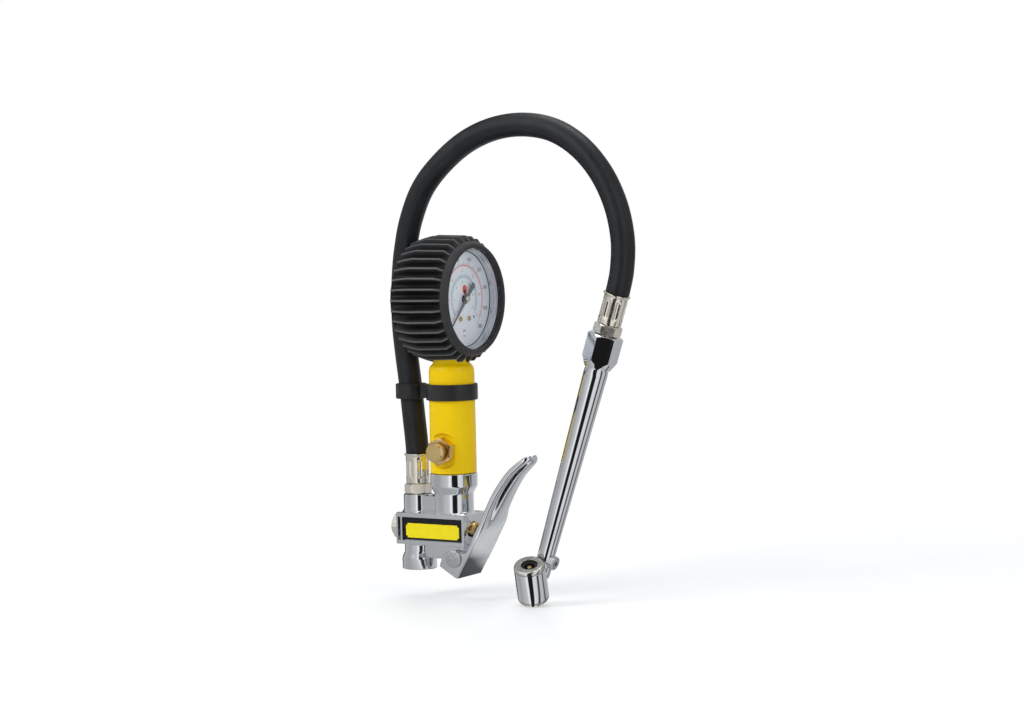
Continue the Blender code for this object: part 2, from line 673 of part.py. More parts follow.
def build_handle():
    rounding = [math.radians(a) for a in (0, 22.5, 45, 67.5, 90)]
    shoulder = [(BARREL_CROWN_R + (BARREL_TOP_R - BARREL_CROWN_R) * math.sin(a),
                 BARREL_SHOULDER + (BARREL_TOP - BARREL_SHOULDER) * math.cos(a))
                for a in rounding]
    spigot_r = SOCKET_R - FIT
    spigot_low = SOCKET_FLOOR + 2 * FIT
    groove_r = spigot_r - BARREL_RING_DEPTH
    ring_low, ring_high = BARREL_RING_Z
    barrel = turned("handle_barrel", [
        (GAUGE_THREAD_R, BARREL_TOP), *shoulder, (BARREL_R, 0.0800), (BARREL_R, 0.0578),
        (BARREL_R - 0.0005, BARREL_BOTTOM), (spigot_r, BARREL_BOTTOM),
        (spigot_r, ring_high), (groove_r, ring_high), (groove_r, ring_low),
        (spigot_r, ring_low), (spigot_r, spigot_low), (BARREL_BORE_R - 0.0006, spigot_low),
        (BARREL_BORE_R - 0.0006, 0.0572), (BARREL_BORE_R, 0.0580),
        (BARREL_BORE_R, GAUGE_THREAD_END - 0.0030), (GAUGE_THREAD_R, GAUGE_THREAD_END)])
    barrel.location.x = HANDLE_X
    beyond = 0.02
    spot = cylinder("spot_face", SPOT_FACE_R, SPOT_FACE_AT, beyond)
    hole = cylinder("release_hole", RELEASE_SHANK_R + FIT, 0.0040, beyond)
    for tool in (spot, hole):
        aim(tool, (HANDLE_X, 0, RELEASE_Z), RELEASE_AXIS)
    cut(barrel, spot, hole)
    finish(barrel, YELLOW)

    ring = o_ring("barrel_ring", (spigot_r - 0.00035, (ring_low + ring_high) / 2),
                  (0.00035, 0.0006))
    ring.location.x = HANDLE_X
    finish(ring, RUBBER)


def build_release_valve():
    """Made along Z and laid on the release axis, Z becoming the way out of the handle."""
    seat = SPOT_FACE_AT + FIT
    face = RELEASE_NUT_FACE
    button = RELEASE_BUTTON_FACE
    under_head = button - RELEASE_HEAD
    skirt_r, skirt_end = 0.0036, RELEASE_SPRING[1] + FIT
    rod_r = 0.0014
    retainer_r, retainer = 0.0025, (0.0022, 0.0034)
    pad_z = (retainer[1] + FIT, 0.0051)
    spring_floor = RELEASE_SPRING[0] - FIT
    nut = hexagon("release_nut", RELEASE_NUT_AF, seat, face, False, True)
    shank = cylinder("release_shank", RELEASE_SHANK_R, pad_z[1] + 0.0004, seat + 0.001)
    guide = cylinder("release_guide", skirt_r + 0.0004, spring_floor, face + 0.001)
    rod_hole = cylinder("release_rod_hole", rod_r + 0.0004, 0.0040, spring_floor + 0.001)
    join(nut, shank)
    cut(nut, guide, rod_hole)
    knob = turned("release_button", [
        (0, button), (RELEASE_BUTTON_R - 0.0009, button),
        (RELEASE_BUTTON_R, button - 0.0009), (RELEASE_BUTTON_R, under_head + 0.0004),
        (RELEASE_BUTTON_R - 0.0004, under_head), (skirt_r, under_head),
        (skirt_r, skirt_end), (rod_r, skirt_end), (rod_r, retainer[1]),
        (retainer_r, retainer[1]), (retainer_r, retainer[0]), (0, retainer[0])])
    pad = turned("release_seal", [(0.0030, pad_z[1]), (0.0030, pad_z[0]),
                                  (rod_r + FIT, pad_z[0]), (rod_r + FIT, pad_z[1])])
    coil = spring("release_spring", 0.0027, 0.0004, *RELEASE_SPRING, 4)
    for obj in (nut, bpy.data.objects["release_nut_blank"], shank, guide, rod_hole, knob,
                pad, coil):
        aim(obj, (HANDLE_X, 0, RELEASE_Z), RELEASE_AXIS)
    finish(nut, BRASS)
    finish(knob, BRASS)
    finish(pad, RUBBER)
    finish(coil, STEEL)


def build_hose_clip():
    """A band round the handle, a band round the hose and the web between them."""
    low, high = CLIP_Z
    hose_x = CLIP_HOSE_X
    clip = cylinder("hose_clip", CLIP_BAND_R, low, high)
    clip.location.x = HANDLE_X
    loop = cylinder("clip_loop", CLIP_LOOP_R, low + 0.0003, high - 0.0003)
    loop.location.x = hose_x
    web = box("clip_web", (hose_x, -CLIP_WEB_HALF_Y, low + 0.0008),
              (HANDLE_X, CLIP_WEB_HALF_Y, high - 0.0008))
    join(clip, loop, web)
    handle_bore = cylinder("clip_handle_bore", BARREL_R + 0.00025, low - 0.01, high + 0.01)
    handle_bore.location.x = HANDLE_X
    hose_bore = cylinder("clip_hose_bore", HOSE_R + 0.0007, low - 0.004, high + 0.004)
    lean = Z_AXIS.rotation_difference(CLIP_HOSE_LEAN).to_matrix().to_4x4()
    middle = (low + high) / 2
    hose_bore.matrix_local = (Matrix.Translation((hose_x, 0, middle)) @ lean
                              @ Matrix.Translation((0, 0, -middle)))
    cut(clip, handle_bore, hose_bore)
    finish(clip, BLACK_PLASTIC)


# ---------------------------------------------------------------- gauge housing

def rib_ring(x, crest_r):
    """The boot's outline at one place: a narrow crest and a V-shaped valley to each rib."""
    pitch = FULL_TURN / RIB_COUNT
    half_top = RIB_TOP_WIDTH / 2 / crest_r
    points = []
    for i in range(RIB_COUNT):
        middle = -math.pi / 2 + pitch * i
        points += [(VALLEY_R, middle - pitch / 2), (crest_r, middle - half_top),
                   (crest_r, middle + half_top)]
    return ring_yz(x, points, GAUGE_Z)


def plain_ring(x, radius):
    """A round ring with as many points as the ribbed outline."""
    pitch = FULL_TURN / RIB_COUNT
    middles = [-math.pi / 2 + pitch * i for i in range(RIB_COUNT)]
    angles = [middle + pitch * part for middle in middles for part in (-1 / 2, -1 / 8, 1 / 8)]
    return ring_yz(x, [(radius, a) for a in angles], GAUGE_Z)


def build_boot():
    rings = [plain_ring(BOOT_BACK_X, BOOT_BACK_R)]
    rings += [rib_ring(x, r) for x, r in RIB_CREST]
    rings += [plain_ring(RIB_END_X, RIB_END_R), plain_ring(BOOT_FRONT_X, BOOT_LIP_R)]
    boot = loft("gauge_boot", rings)
    beyond = 0.001
    hollow = turned("boot_hollow", [
        (0, BOOT_FRONT_X + beyond), (WINDOW_R, BOOT_FRONT_X + beyond),
        (WINDOW_R, LENS_X[1] + FIT), (BOOT_R, LENS_X[1] + FIT), (BOOT_R, CASE_X[0] - FIT),
        (BOOT_BACK_OPENING_R, CASE_X[0] - FIT), (BOOT_BACK_OPENING_R, BOOT_BACK_X - beyond),
        (0, BOOT_BACK_X - beyond)])
    aim(hollow, (0, 0, GAUGE_Z), X_AXIS)
    stem_hole = cylinder("boot_stem_hole", GAUGE_STEM_R + 0.0008, GAUGE_Z - 0.040, GAUGE_Z - 0.025)
    stem_hole.location.x = HANDLE_X
    cut(boot, hollow, stem_hole)
    finish(boot, RUBBER)


def build_case():
    """Made along Z, which is laid on +X."""
    inner = CASE_R - CASE_WALL
    case = turned("gauge_case", [
        (inner, CASE_X[1]), (CASE_R, CASE_X[1]), (CASE_R, CASE_X[0]),
        (VENT_R, CASE_X[0]), (VENT_R, CASE_X[0] + CASE_WALL),
        (inner, CASE_X[0] + CASE_WALL)])
    stem_hole = cylinder("case_stem_hole", GAUGE_STEM_R + 0.0004, GAUGE_Z - 0.036, GAUGE_Z - 0.020)
    stem_hole.location.x = HANDLE_X
    back = CASE_X[0]
    plug_r, plug_head_r, plug_head = VENT_R - FIT, 0.0052, back - FIT - 0.0015
    back_plug = turned("case_vent_plug", [
        (0, back + 0.0016), (plug_r, back + 0.0016), (plug_r, back - FIT),
        (plug_head_r, back - FIT), (plug_head_r, plug_head + 0.0006),
        (plug_head_r - 0.0006, plug_head), (0, plug_head)])
    crown = LENS_X[1] + LENS_CROWN
    lens = turned("gauge_lens", [
        (0, crown), (0.0180, crown - 0.0003), (0.0278, LENS_X[1]),
        (LENS_R, LENS_X[1]), (LENS_R, LENS_X[0]), (0, LENS_X[0])])
    dial = turned("gauge_dial", [
        (DIAL_R, DIAL_X[1]), (DIAL_R, DIAL_X[0]), (DIAL_HOLE_R, DIAL_X[0]),
        (DIAL_HOLE_R, DIAL_X[1])])
    for obj in (case, back_plug, lens, dial):
        aim(obj, (0, 0, GAUGE_Z), X_AXIS)
    cut(case, stem_hole)
    finish(case, STEEL)
    finish(back_plug, RUBBER)
    finish(lens, CLEAR)
    finish(dial, WHITE_DIAL)
    low = DIAL_X[1] + FIT
    for side, y in (("left", -DIAL_SCREW_Y), ("right", DIAL_SCREW_Y)):
        screw = turned("dial_screw_" + side, [
            (0, low + 0.0009), (0.0010, low + 0.0008), (DIAL_SCREW_R, low + 0.0004),
            (DIAL_SCREW_R, low), (0, low)])
        aim(screw, (0, y, GAUGE_Z - DIAL_SCREW_DROP), X_AXIS)
        finish(screw, BRASS)


# ---------------------------------------------------------------- gauge works

def gear_outline(teeth, first, count, centre_angle):
    """Points of `count` teeth of a gear with `teeth` in the full circle, the tooth
    number `first` centred on centre_angle."""
    pitch_r = GEAR_MODULE * teeth / 2
    tip_r = pitch_r + GEAR_MODULE * 0.9
    root_r = pitch_r - GEAR_MODULE * 1.25
    step = FULL_TURN / teeth
    half_tip = 0.26 * GEAR_MODULE / tip_r
    half_root = 0.98 * GEAR_MODULE / root_r
    points = []
    for i in range(count):
        middle = centre_angle + step * (first + i)
        for r, a in ((root_r, -half_root), (tip_r, -half_tip), (tip_r, half_tip),
                     (root_r, half_root)):
            points.append((r * math.cos(middle + a), r * math.sin(middle + a)))
    return points


def build_works():
    hub = Vector((0, 0, GAUGE_Z))
    pivot = hub - Z_AXIS * SECTOR_PIVOT
    sector_teeth = PINION_TEETH * SECTOR_RATIO
    swing = POINTER_SWEEP / SECTOR_RATIO

    # Plates made in local XY stand in the plane X = constant: local X is +Y, local Y is +Z.
    def stand(obj, x, centre, spin=0.0):
        turn = Matrix(((0, 0, 1), (1, 0, 0), (0, 1, 0))).to_4x4()
        place = Matrix.Translation((x, centre.y, centre.z))
        obj.matrix_local = place @ turn @ Matrix.Rotation(spin, 4, "Z")
        return obj

    shaft_r, tip_r = 0.0010, 0.0006
    shaft = turned("pinion_shaft", [
        (0, SHAFT_X[1]), (tip_r, SHAFT_X[1]), (tip_r, DIAL_X[1] + 0.0004),
        (shaft_r, DIAL_X[1] + 0.0004), (shaft_r, SHAFT_X[0]), (0, SHAFT_X[0])])
    aim(shaft, hub, X_AXIS)
    pinion = plate("pinion_teeth", gear_outline(PINION_TEETH, 0, PINION_TEETH, math.pi / 2),
                   0.0018)
    stand(pinion, GEAR_X, hub)
    join(shaft, pinion)
    finish(shaft, BRASS)

    # The sector rests turned back by half its swing; a tooth gap faces the pinion.
    arc_teeth = SECTOR_ARC_TEETH
    start = -swing / 2
    mesh_line = math.pi / 2
    step = FULL_TURN / sector_teeth
    lead = round(start / step) * step + step / 2
    teeth = gear_outline(sector_teeth, -(arc_teeth // 2), arc_teeth, mesh_line + lead)
    edge_r, hub_r, tail_half = 0.0110, 0.0024, 0.0011
    last = mesh_line + lead + step * (arc_teeth // 2 + 0.6)
    first = mesh_line + lead - step * (arc_teeth // 2 + 0.6)
    tail = mesh_line + start + math.pi
    outline = teeth + [(edge_r * math.cos(last), edge_r * math.sin(last))]
    outline += [(hub_r * math.cos(last + 0.5), hub_r * math.sin(last + 0.5))]
    tail_r = (0.0022, SECTOR_LINK_R + 0.0010)
    for side, radii in ((1, tail_r), (-1, tail_r[::-1])):
        for r in radii:
            a = tail - side * math.asin(tail_half / r)
            outline.append((r * math.cos(a), r * math.sin(a)))
    outline += [(hub_r * math.cos(first - 0.5), hub_r * math.sin(first - 0.5)),
                (edge_r * math.cos(first), edge_r * math.sin(first))]
    sector = plate("sector_gear", outline, 0.0012)
    stand(sector, GEAR_X, pivot)
    axle = cylinder("sector_axle", AXLE_R, SHAFT_X[0], PLATE_X[1] + 0.0006)
    aim(axle, pivot, X_AXIS)
    join(sector, axle)
    link_hole = cylinder("sector_link_hole", 0.0004, 0.020, 0.030)
    tail_pin = pivot + SECTOR_LINK_R * Vector((0, math.cos(tail), math.sin(tail)))
    aim(link_hole, tail_pin, X_AXIS)
    cut(sector, link_hole)
    finish(sector, BRASS)

    def movement_plate(name, x):
        """A plate that carries the two pivots, with a bearing hole for each."""
        outline = [(-PLATE_HALF_LOW, PLATE_LOW), (PLATE_HALF_LOW, PLATE_LOW),
                   (PLATE_HALF_HIGH, 0.0030), (0.0, 0.0052), (-PLATE_HALF_HIGH, 0.0030)]
        obj = stand(plate(name, outline, PLATE_T), x, hub)
        for hole_name, place, radius in (("_hub", hub, shaft_r + FIT),
                                         ("_axle", pivot, AXLE_R + FIT)):
            hole = cylinder(name + hole_name, radius, x - 0.002, x + 0.002)
            cut(obj, aim(hole, place, X_AXIS))
        return obj

    for name, x in zip(("movement_back_plate", "movement_front_plate"), PLATE_X):
        finish(movement_plate(name, x), BRASS)
    spans = (PLATE_X[0] + PLATE_T / 2 + FIT, PLATE_X[1] - PLATE_T / 2 - FIT)
    for name, y in (("left", -0.0050), ("right", 0.0050)):
        pillar = cylinder("movement_pillar_" + name, 0.0009, *spans)
        aim(pillar, hub + Vector((0, y, PLATE_LOW + 0.0014)), X_AXIS)
        finish(pillar, BRASS)

    # Link from the tail to the tube's tip
    tip_angle = TUBE_TIP_ANGLE
    tip = hub + Vector((0, TUBE_R * math.cos(tip_angle), TUBE_R * math.sin(tip_angle)))
    run = tip - tail_pin
    side = Vector((0, -run.z, run.y)).normalized() * 0.0008
    corners = [tail_pin - run * 0.04 - side, tip - side, tip + side,
               tail_pin - run * 0.04 + side]
    outline = [(c.y - hub.y, c.z - hub.z) for c in corners]
    link = stand(plate("movement_link", outline, 0.0006), LINK_X, hub)
    finish(link, BRASS)

    # The C-shaped pressure tube: flat oval section, from the socket round to its tip
    start_angle = TUBE_START_ANGLE
    sweep = FULL_TURN - (tip_angle - start_angle)
    steps = 28
    half_w = (TUBE_X[1] - TUBE_X[0]) / 2
    middle_x = (TUBE_X[0] + TUBE_X[1]) / 2
    section = [(half_w, 0), (half_w * 0.8, 1), (-half_w * 0.8, 1), (-half_w, 0),
               (-half_w * 0.8, -1), (half_w * 0.8, -1)]
    rings = []
    for i in range(steps + 1):
        a = start_angle - sweep * i / steps
        rings.append([(middle_x + dx, (TUBE_R + dr * TUBE_THICK / 2) * math.cos(a),
                       GAUGE_Z + (TUBE_R + dr * TUBE_THICK / 2) * math.sin(a))
                      for dx, dr in section])
    finish(loft("bourdon_tube", rings), BRASS)

    # Stem, seat and block of the gauge, with the air way up its middle
    seat = BARREL_TOP + FIT
    stem_top = GAUGE_Z - 0.0257
    thread_r = GAUGE_THREAD_R - FIT
    socket = turned("gauge_socket", [
        (0, stem_top), (GAUGE_STEM_R - 0.0008, stem_top),
        (GAUGE_STEM_R, stem_top - 0.0029),
        (GAUGE_STEM_R, seat), (thread_r, seat), (thread_r, GAUGE_THREAD_END + 0.0006),
        (thread_r - 0.0006, GAUGE_THREAD_END), (0, GAUGE_THREAD_END)])
    socket.location.x = HANDLE_X
    foot_half, block_half = 0.0050, 0.0058
    foot = box("socket_foot", (0.0150, -foot_half, stem_top - 0.0015),
               (0.0300, foot_half, stem_top - 0.0002))
    block = box("socket_block", (TUBE_X[0] - 0.0003, -block_half, stem_top - 0.0018),
                (TUBE_X[1] + 0.0005, block_half, stem_top + 0.0081))
    air = cylinder("socket_air", 0.0018, GAUGE_THREAD_END - 0.001, stem_top - 0.0009)
    air.location.x = HANDLE_X
    join(socket, foot, block)
    cut(socket, air)
    finish(socket, BRASS)

    # Pointer: needle, hub and broad counter-tail, built along local +X and turned to zero
    upper = [(POINTER_REACH, 0.0002), (0.0030, 0.0007), (0.0020, 0.0020),
             (-0.0020, 0.0020), (-0.0040, 0.0009), (-0.0115, 0.0017)]
    lower = [(x, -y) for x, y in reversed(upper)]
    needle = plate("gauge_pointer", [*upper, (-0.0122, 0.0), *lower], 0.0005)
    stand(needle, POINTER_X, hub, POINTER_ZERO)
    eye = cylinder("pointer_eye", tip_r + FIT, POINTER_X - 0.0024, POINTER_X + 0.0016)
    aim(eye, hub, X_AXIS)
    cut(needle, eye)
    finish(needle, GREY_POINTER)
    cap_r, cap_low = 0.0018, POINTER_X + 0.0006
    cap = turned("pointer_cap", [
        (0, cap_low + 0.0014), (cap_r - 0.0005, cap_low + 0.0012), (cap_r, cap_low + 0.0008),
        (cap_r, cap_low), (tip_r + FIT, cap_low), (tip_r + FIT, SHAFT_X[1] + FIT),
        (0, SHAFT_X[1] + FIT)])
    aim(cap, hub, X_AXIS)
    finish(cap, BRASS)


# ---------------------------------------------------------------- hose and its ends

def ferrule(name, frame=None):
    """A crimped sleeve from local Z = 0 (nipple end) to its flared rim at the hose. Each
    ring is a height, a radius and how deep the flutes are pressed there."""
    columns = FERRULE_FLUTES * 3
    crimp = (0.0042, 0.0128)
    flare = 0.0160
    collar_r = 0.0040
    outer = [(0, FERRULE_R, 0), (crimp[0] - 0.0014, FERRULE_R, 0), (crimp[0], FERRULE_R, 1),
             (crimp[1], FERRULE_R, 1), (crimp[1] + 0.0014, FERRULE_R, 0),
             (flare, FERRULE_R, 0), (flare + 0.0008, FERRULE_RIM_R, 0),
             (FERRULE_LENGTH, FERRULE_RIM_R, 0)]
    inner = [(FERRULE_LENGTH, FERRULE_RIM_R - 0.0006, 0), (flare, FERRULE_BORE_R, 0),
             (0.0012, FERRULE_BORE_R, 0), (0.0012, collar_r, 0), (0, collar_r, 0)]
    rings = []
    for z, radius, depth in outer + inner:
        ring = []
        for i in range(columns):
            angle = FULL_TURN * i / columns
            press = FLUTE_DEPTH * depth * max(0.0, math.cos(FERRULE_FLUTES * angle))
            r = radius - press
            ring.append((r * math.cos(angle), r * math.sin(angle), z))
        rings.append(ring)
    return loft(name, rings, closed=True, frame=frame)


def nipple(name, thread_length, frame=None):
    """Hose end fitting: thread below local Z = 0, hexagon above it, neck into the sleeve."""
    hexagon_bar = hexagon(name, NIPPLE_AF, 0, NIPPLE_HEX, True, True, frame)
    thread = cylinder(name + "_thread", PORT_BORE_R - FIT, -thread_length, 0.001, frame)
    neck = cylinder(name + "_neck", NIPPLE_NECK_R, NIPPLE_HEX - 0.001, NIPPLE_HEX + 0.0013,
                    frame)
    bore = cylinder(name + "_bore", NIPPLE_BORE_R, -thread_length - 0.001,
                    NIPPLE_HEX + 0.002, frame)
    join(hexagon_bar, thread, neck)
    cut(hexagon_bar, bore)
    return hexagon_bar


def hose_points():
    """The hose's centre line with its two crimped ends, and the radius factor at each."""
    lower_rim = COLUMN_TOP + FIT + NIPPLE_HEX + FIT + FERRULE_LENGTH
    down_wand = Vector((-math.sin(CHUCK_TILT), 0, -math.cos(CHUCK_TILT)))
    crimp = HOSE_CRIMPED_R / HOSE_R
    points = [Vector((0, 0, lower_rim - HOSE_CRIMP_DEPTH)), Vector((0, 0, lower_rim - 0.0018)),
              Vector((0, 0, lower_rim + 0.0006))]
    factors = [crimp, crimp, 1.0]
    knots = [(0.0, lower_rim + 0.0020), *HOSE_ROUTE,
             tuple((CHUCK_TOP - down_wand * 0.0020)[i] for i in (0, 2))]
    for x, z in smooth_through(knots, 2):
        points.append(Vector((x, 0, z)))
        factors.append(1.0)
    points += [CHUCK_TOP - down_wand * 0.0006, CHUCK_TOP + down_wand * 0.0018,
               CHUCK_TOP + down_wand * HOSE_CRIMP_DEPTH]
    factors += [1.0, crimp, crimp]
    return points, factors


def build_hose():
    base = COLUMN_TOP + FIT
    lower = nipple("body_nipple", NIPPLE_THREAD)
    for obj in [o for o in TOOLS.objects if o.name.startswith("body_nipple")]:
        obj.location.z = base
    finish(lower, NICKEL)
    sleeve = ferrule("body_ferrule")
    sleeve.location.z = base + NIPPLE_HEX + FIT
    finish(sleeve, NICKEL)
    points, factors = hose_points()
    hose = tube("air_hose", points, HOSE_R, radii=factors)
    finish(hose, RUBBER)


# ---------------------------------------------------------------- chuck

def build_chuck():
    frame = bpy.data.objects.new("chuck_frame", None)
    PARTS.objects.link(frame)
    frame.matrix_world = (Matrix.Translation(CHUCK_TOP)
                          @ Matrix.Rotation(CHUCK_TILT, 4, "Y"))
    bpy.context.view_layer.update()

    sleeve = ferrule("chuck_ferrule", frame)
    aim(sleeve, (0, 0, -FERRULE_LENGTH), Z_AXIS)
    finish(sleeve, NICKEL)
    nut_top = -FERRULE_LENGTH - FIT
    fitting = nipple("chuck_nipple", NIPPLE_THREAD, frame)
    for obj in [o for o in TOOLS.objects if o.name.startswith("chuck_nipple")]:
        obj.location.z = nut_top - NIPPLE_HEX
    finish(fitting, NICKEL)

    # Casting: hexagon, tapered wand, boss and the cross head
    hex_top, hex_low = CHUCK_HEX
    body = hexagon("chuck_body", CHUCK_HEX_AF, hex_low, hex_top, True, True, frame)
    wand = turned("wand", [
        (0, hex_low + 0.004), (CHUCK_HEX_AF / 2 - 0.0010, hex_low + 0.0006),
        (WAND_TOP_R, WAND_TOP), (WAND_END_R, WAND_END + 0.012), (WAND_END_R, WAND_END),
        (WAND_END_R * 0.8, WAND_END - 0.0025), (WAND_END_R * 0.4, WAND_END - 0.0040),
        (0, WAND_END - 0.0044)], frame)
    boss = cylinder("boss", BOSS_R, 0, BOSS_REACH, frame)
    aim(boss, (0, 0, BOSS_AT), X_AXIS)
    to_local = frame.matrix_world.inverted()
    head_centre = to_local @ HEAD_CENTRE
    head_axis = to_local.to_3x3() @ HEAD_AXIS
    shoulder = HEAD_HALF - CAP_FLANGE - FIT
    head = turned("head", [
        (0, shoulder), (HEAD_R - 0.0002, shoulder), (HEAD_R, shoulder - 0.0003),
        (HEAD_R, -shoulder + 0.0003), (HEAD_R - 0.0002, -shoulder), (0, -shoulder)],
        frame)
    aim(head, head_centre, head_axis)
    join(body, wand, boss, head)

    reach = 0.001
    thread = cylinder("chuck_thread", PORT_BORE_R, hex_top - 0.0110, hex_top + reach, frame)
    way = cylinder("wand_way", WAND_BORE_R, BOSS_AT, hex_top - 0.0100, frame)
    plug_hole = cylinder("plug_hole", CHUCK_PLUG_R + FIT, CHUCK_PLUG_END - FIT,
                         BOSS_REACH + reach, frame)
    aim(plug_hole, (0, 0, BOSS_AT), X_AXIS)
    drill = cylinder("cross_drill", DRILL_R, 0.0, CHUCK_PLUG_END + 0.0007, frame)
    aim(drill, (0, 0, BOSS_AT), X_AXIS)
    boss_place = Vector((0, 0, BOSS_AT))
    to_head = head_centre - boss_place
    head_way = cylinder("head_way", DRILL_R, 0.0, to_head.length, frame)
    aim(head_way, boss_place, to_head)
    cap_room = cylinder("cap_room", HEAD_R + FIT, shoulder, shoulder + 0.010, frame)
    aim(cap_room, head_centre, head_axis)
    tools = [cap_room, thread, way, plug_hole, drill, head_way]
    for sign, label in ((1, "front"), (-1, "rear")):
        wide = cylinder("wide_bore_" + label, HEAD_BORE_R, 0.0055, HEAD_HALF + reach, frame)
        deep = cylinder("deep_bore_" + label, 0.0049, 0.0009, 0.0065, frame)
        for tool in (wide, deep):
            aim(tool, head_centre, head_axis * sign)
        tools += [wide, deep]
    wall_hole = cylinder("wall_hole", 0.0012, -0.002, 0.002, frame)
    aim(wall_hole, head_centre, head_axis)
    cut(body, *tools, wall_hole)
    finish(body, CHROME)

    plug = cylinder("chuck_plug", CHUCK_PLUG_R, CHUCK_PLUG_END, BOSS_REACH + 0.0002, frame)
    key = cylinder("plug_key", PLUG_KEY_R, BOSS_REACH - 0.0018, BOSS_REACH + reach, frame, 6)
    for obj in (plug, key):
        aim(obj, (0, 0, BOSS_AT), X_AXIS)
    cut(plug, key)
    finish(plug, STEEL)

    for sign, label in ((1, "front"), (-1, "rear")):
        build_chuck_face(label, frame, head_centre, head_axis * sign)


def build_chuck_face(label, frame, centre, axis):
    """Cap, seal, pin and spring of one face; heights are distances from the middle."""
    flange = HEAD_HALF - CAP_FLANGE
    inside_r, skirt_end = HEAD_BORE_R - FIT, 0.0088
    cap = turned("chuck_cap_" + label, [
        (HEAD_R - 0.0012, HEAD_HALF), (HEAD_R - 0.0004, HEAD_HALF - 0.0006),
        (HEAD_R, HEAD_HALF - 0.0014), (HEAD_R, flange), (inside_r, flange),
        (inside_r, skirt_end), (CAP_HOLE_R, skirt_end), (CAP_HOLE_R, HEAD_HALF)], frame)
    notch_half = 0.0007
    notch = box("cap_notch_" + label, (CAP_HOLE_R - 0.0008, -notch_half, HEAD_HALF - 0.0007),
                (CAP_HOLE_R + 0.0022, notch_half, HEAD_HALF + 0.001), 0, frame)
    lip_r, lip_top, seal_bore_r = CAP_HOLE_R - FIT, 0.0109, 0.0032
    seal_low, seal_shoulder = 0.0058, skirt_end - FIT
    seal = turned("chuck_seal_" + label, [
        (lip_r - 0.0003, lip_top), (lip_r, lip_top - 0.0003), (lip_r, seal_shoulder),
        (inside_r, seal_shoulder), (inside_r, seal_low), (seal_bore_r, seal_low),
        (seal_bore_r, lip_top)], frame)
    pin_r, disc_r, pin_top, pin_end = 0.0014, 0.0040, 0.0103, 0.0037
    disc = (seal_low - FIT - 0.0008, seal_low - FIT)
    pin = turned("chuck_pin_" + label, [
        (0, pin_top), (pin_r - 0.0003, pin_top), (pin_r, pin_top - 0.0003),
        (pin_r, disc[1]), (disc_r, disc[1]), (disc_r, disc[0]), (pin_r, disc[0]),
        (pin_r, pin_end), (0, pin_end)], frame)
    coil = spring("chuck_spring_" + label, 0.0030, 0.0003, 0.0012, disc[0] - FIT, 3, frame)
    for obj in (cap, notch, seal, pin, coil):
        aim(obj, centre, axis)
    cut(cap, notch)
    finish(cap, STEEL)
    finish(seal, RUBBER)
    finish(pin, BRASS)
    finish(coil, STEEL)


build_valve_body()
build_valve()
build_lever()
build_handle()
build_release_valve()
build_hose_clip()
build_boot()
build_case()
build_works()
build_hose()
build_chuck()
bpy.context.view_layer.update()
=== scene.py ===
import math

import bpy
from mathutils import Matrix, Vector


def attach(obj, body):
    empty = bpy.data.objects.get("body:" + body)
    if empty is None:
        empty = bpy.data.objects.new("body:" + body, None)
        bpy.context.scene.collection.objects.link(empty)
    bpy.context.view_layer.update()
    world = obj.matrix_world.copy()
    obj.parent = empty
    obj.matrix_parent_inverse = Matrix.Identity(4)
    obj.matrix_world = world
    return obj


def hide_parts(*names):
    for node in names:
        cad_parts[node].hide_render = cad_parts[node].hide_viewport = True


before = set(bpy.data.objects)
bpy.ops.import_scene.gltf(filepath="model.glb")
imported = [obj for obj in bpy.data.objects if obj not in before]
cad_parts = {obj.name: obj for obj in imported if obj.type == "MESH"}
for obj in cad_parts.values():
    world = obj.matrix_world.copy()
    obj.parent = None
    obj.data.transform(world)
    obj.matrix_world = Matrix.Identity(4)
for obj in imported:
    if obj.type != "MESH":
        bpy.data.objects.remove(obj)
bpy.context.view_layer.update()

bpy.ops.object.select_all(action="DESELECT")

X_AXIS = Vector((1, 0, 0))
Y_AXIS = Vector((0, 1, 0))
Z_AXIS = Vector((0, 0, 1))
FULL_TURN = 2 * math.pi
FIT = 0.0003

# Sizes of the source, in metres, for the pieces that are made again here.
INLET_COLLAR_R, INLET_BORE_R = 0.0101, 0.0057
COLUMN_R, COLUMN_TOP, PORT_BORE_R = 0.0086, 0.0438, 0.0049
BLOCK_X, BLOCK_HALF_Y, BLOCK_Z = (-0.0068, 0.0380), 0.0140, (0.0158, 0.0338)
FRAME_END_X, FRAME_DEPTH = 0.0402, 0.0030
LABEL_X, LABEL_Z, LABEL_RECESS = (-0.0024, 0.0386), (0.0180, 0.0315), 0.0016
SLOT_X = (-0.0056, -0.0036)
VALVE_Z, VALVE_BORE_R, VALVE_PLUG_AF = 0.0245, 0.0050, 0.0134
HANDLE_X, HANDLE_COLUMN_R = 0.0250, 0.01135
COLLAR_R, COLLAR_Z, SOCKET_R, SOCKET_FLOOR = 0.01375, (0.0495, 0.0569), 0.0106, 0.0500
BARREL_R, BARREL_TOP_R = 0.0134, 0.0132
BARREL_BOTTOM, BARREL_SHOULDER, BARREL_TOP = 0.0572, 0.1162, 0.1200
GAUGE_THREAD_R, NECK_R, NECK_TOP = 0.0052, 0.0106, 0.1262
RELEASE_Z, SPOT_FACE_R, SPOT_FACE_AT = 0.0706, 0.0100, 0.0114
RELEASE_AXIS = Vector((math.sin(math.radians(5)), -math.cos(math.radians(5)), 0))
RELEASE_NUT_AF, RELEASE_NUT_FACE, RELEASE_SHANK_R = 0.0140, 0.0182, 0.0053
RELEASE_BUTTON_FACE, RELEASE_BUTTON_R, RELEASE_HEAD = 0.0238, 0.0056, 0.0031
PIN_X, PIN_Z, PIN_R = 0.0327, 0.0087, 0.0025
LEVER_HALF_WIDTH, LEVER_WALL = 0.0136, 0.0020
LUG_HALF_Y, LUG_R = 0.0112, 0.0046
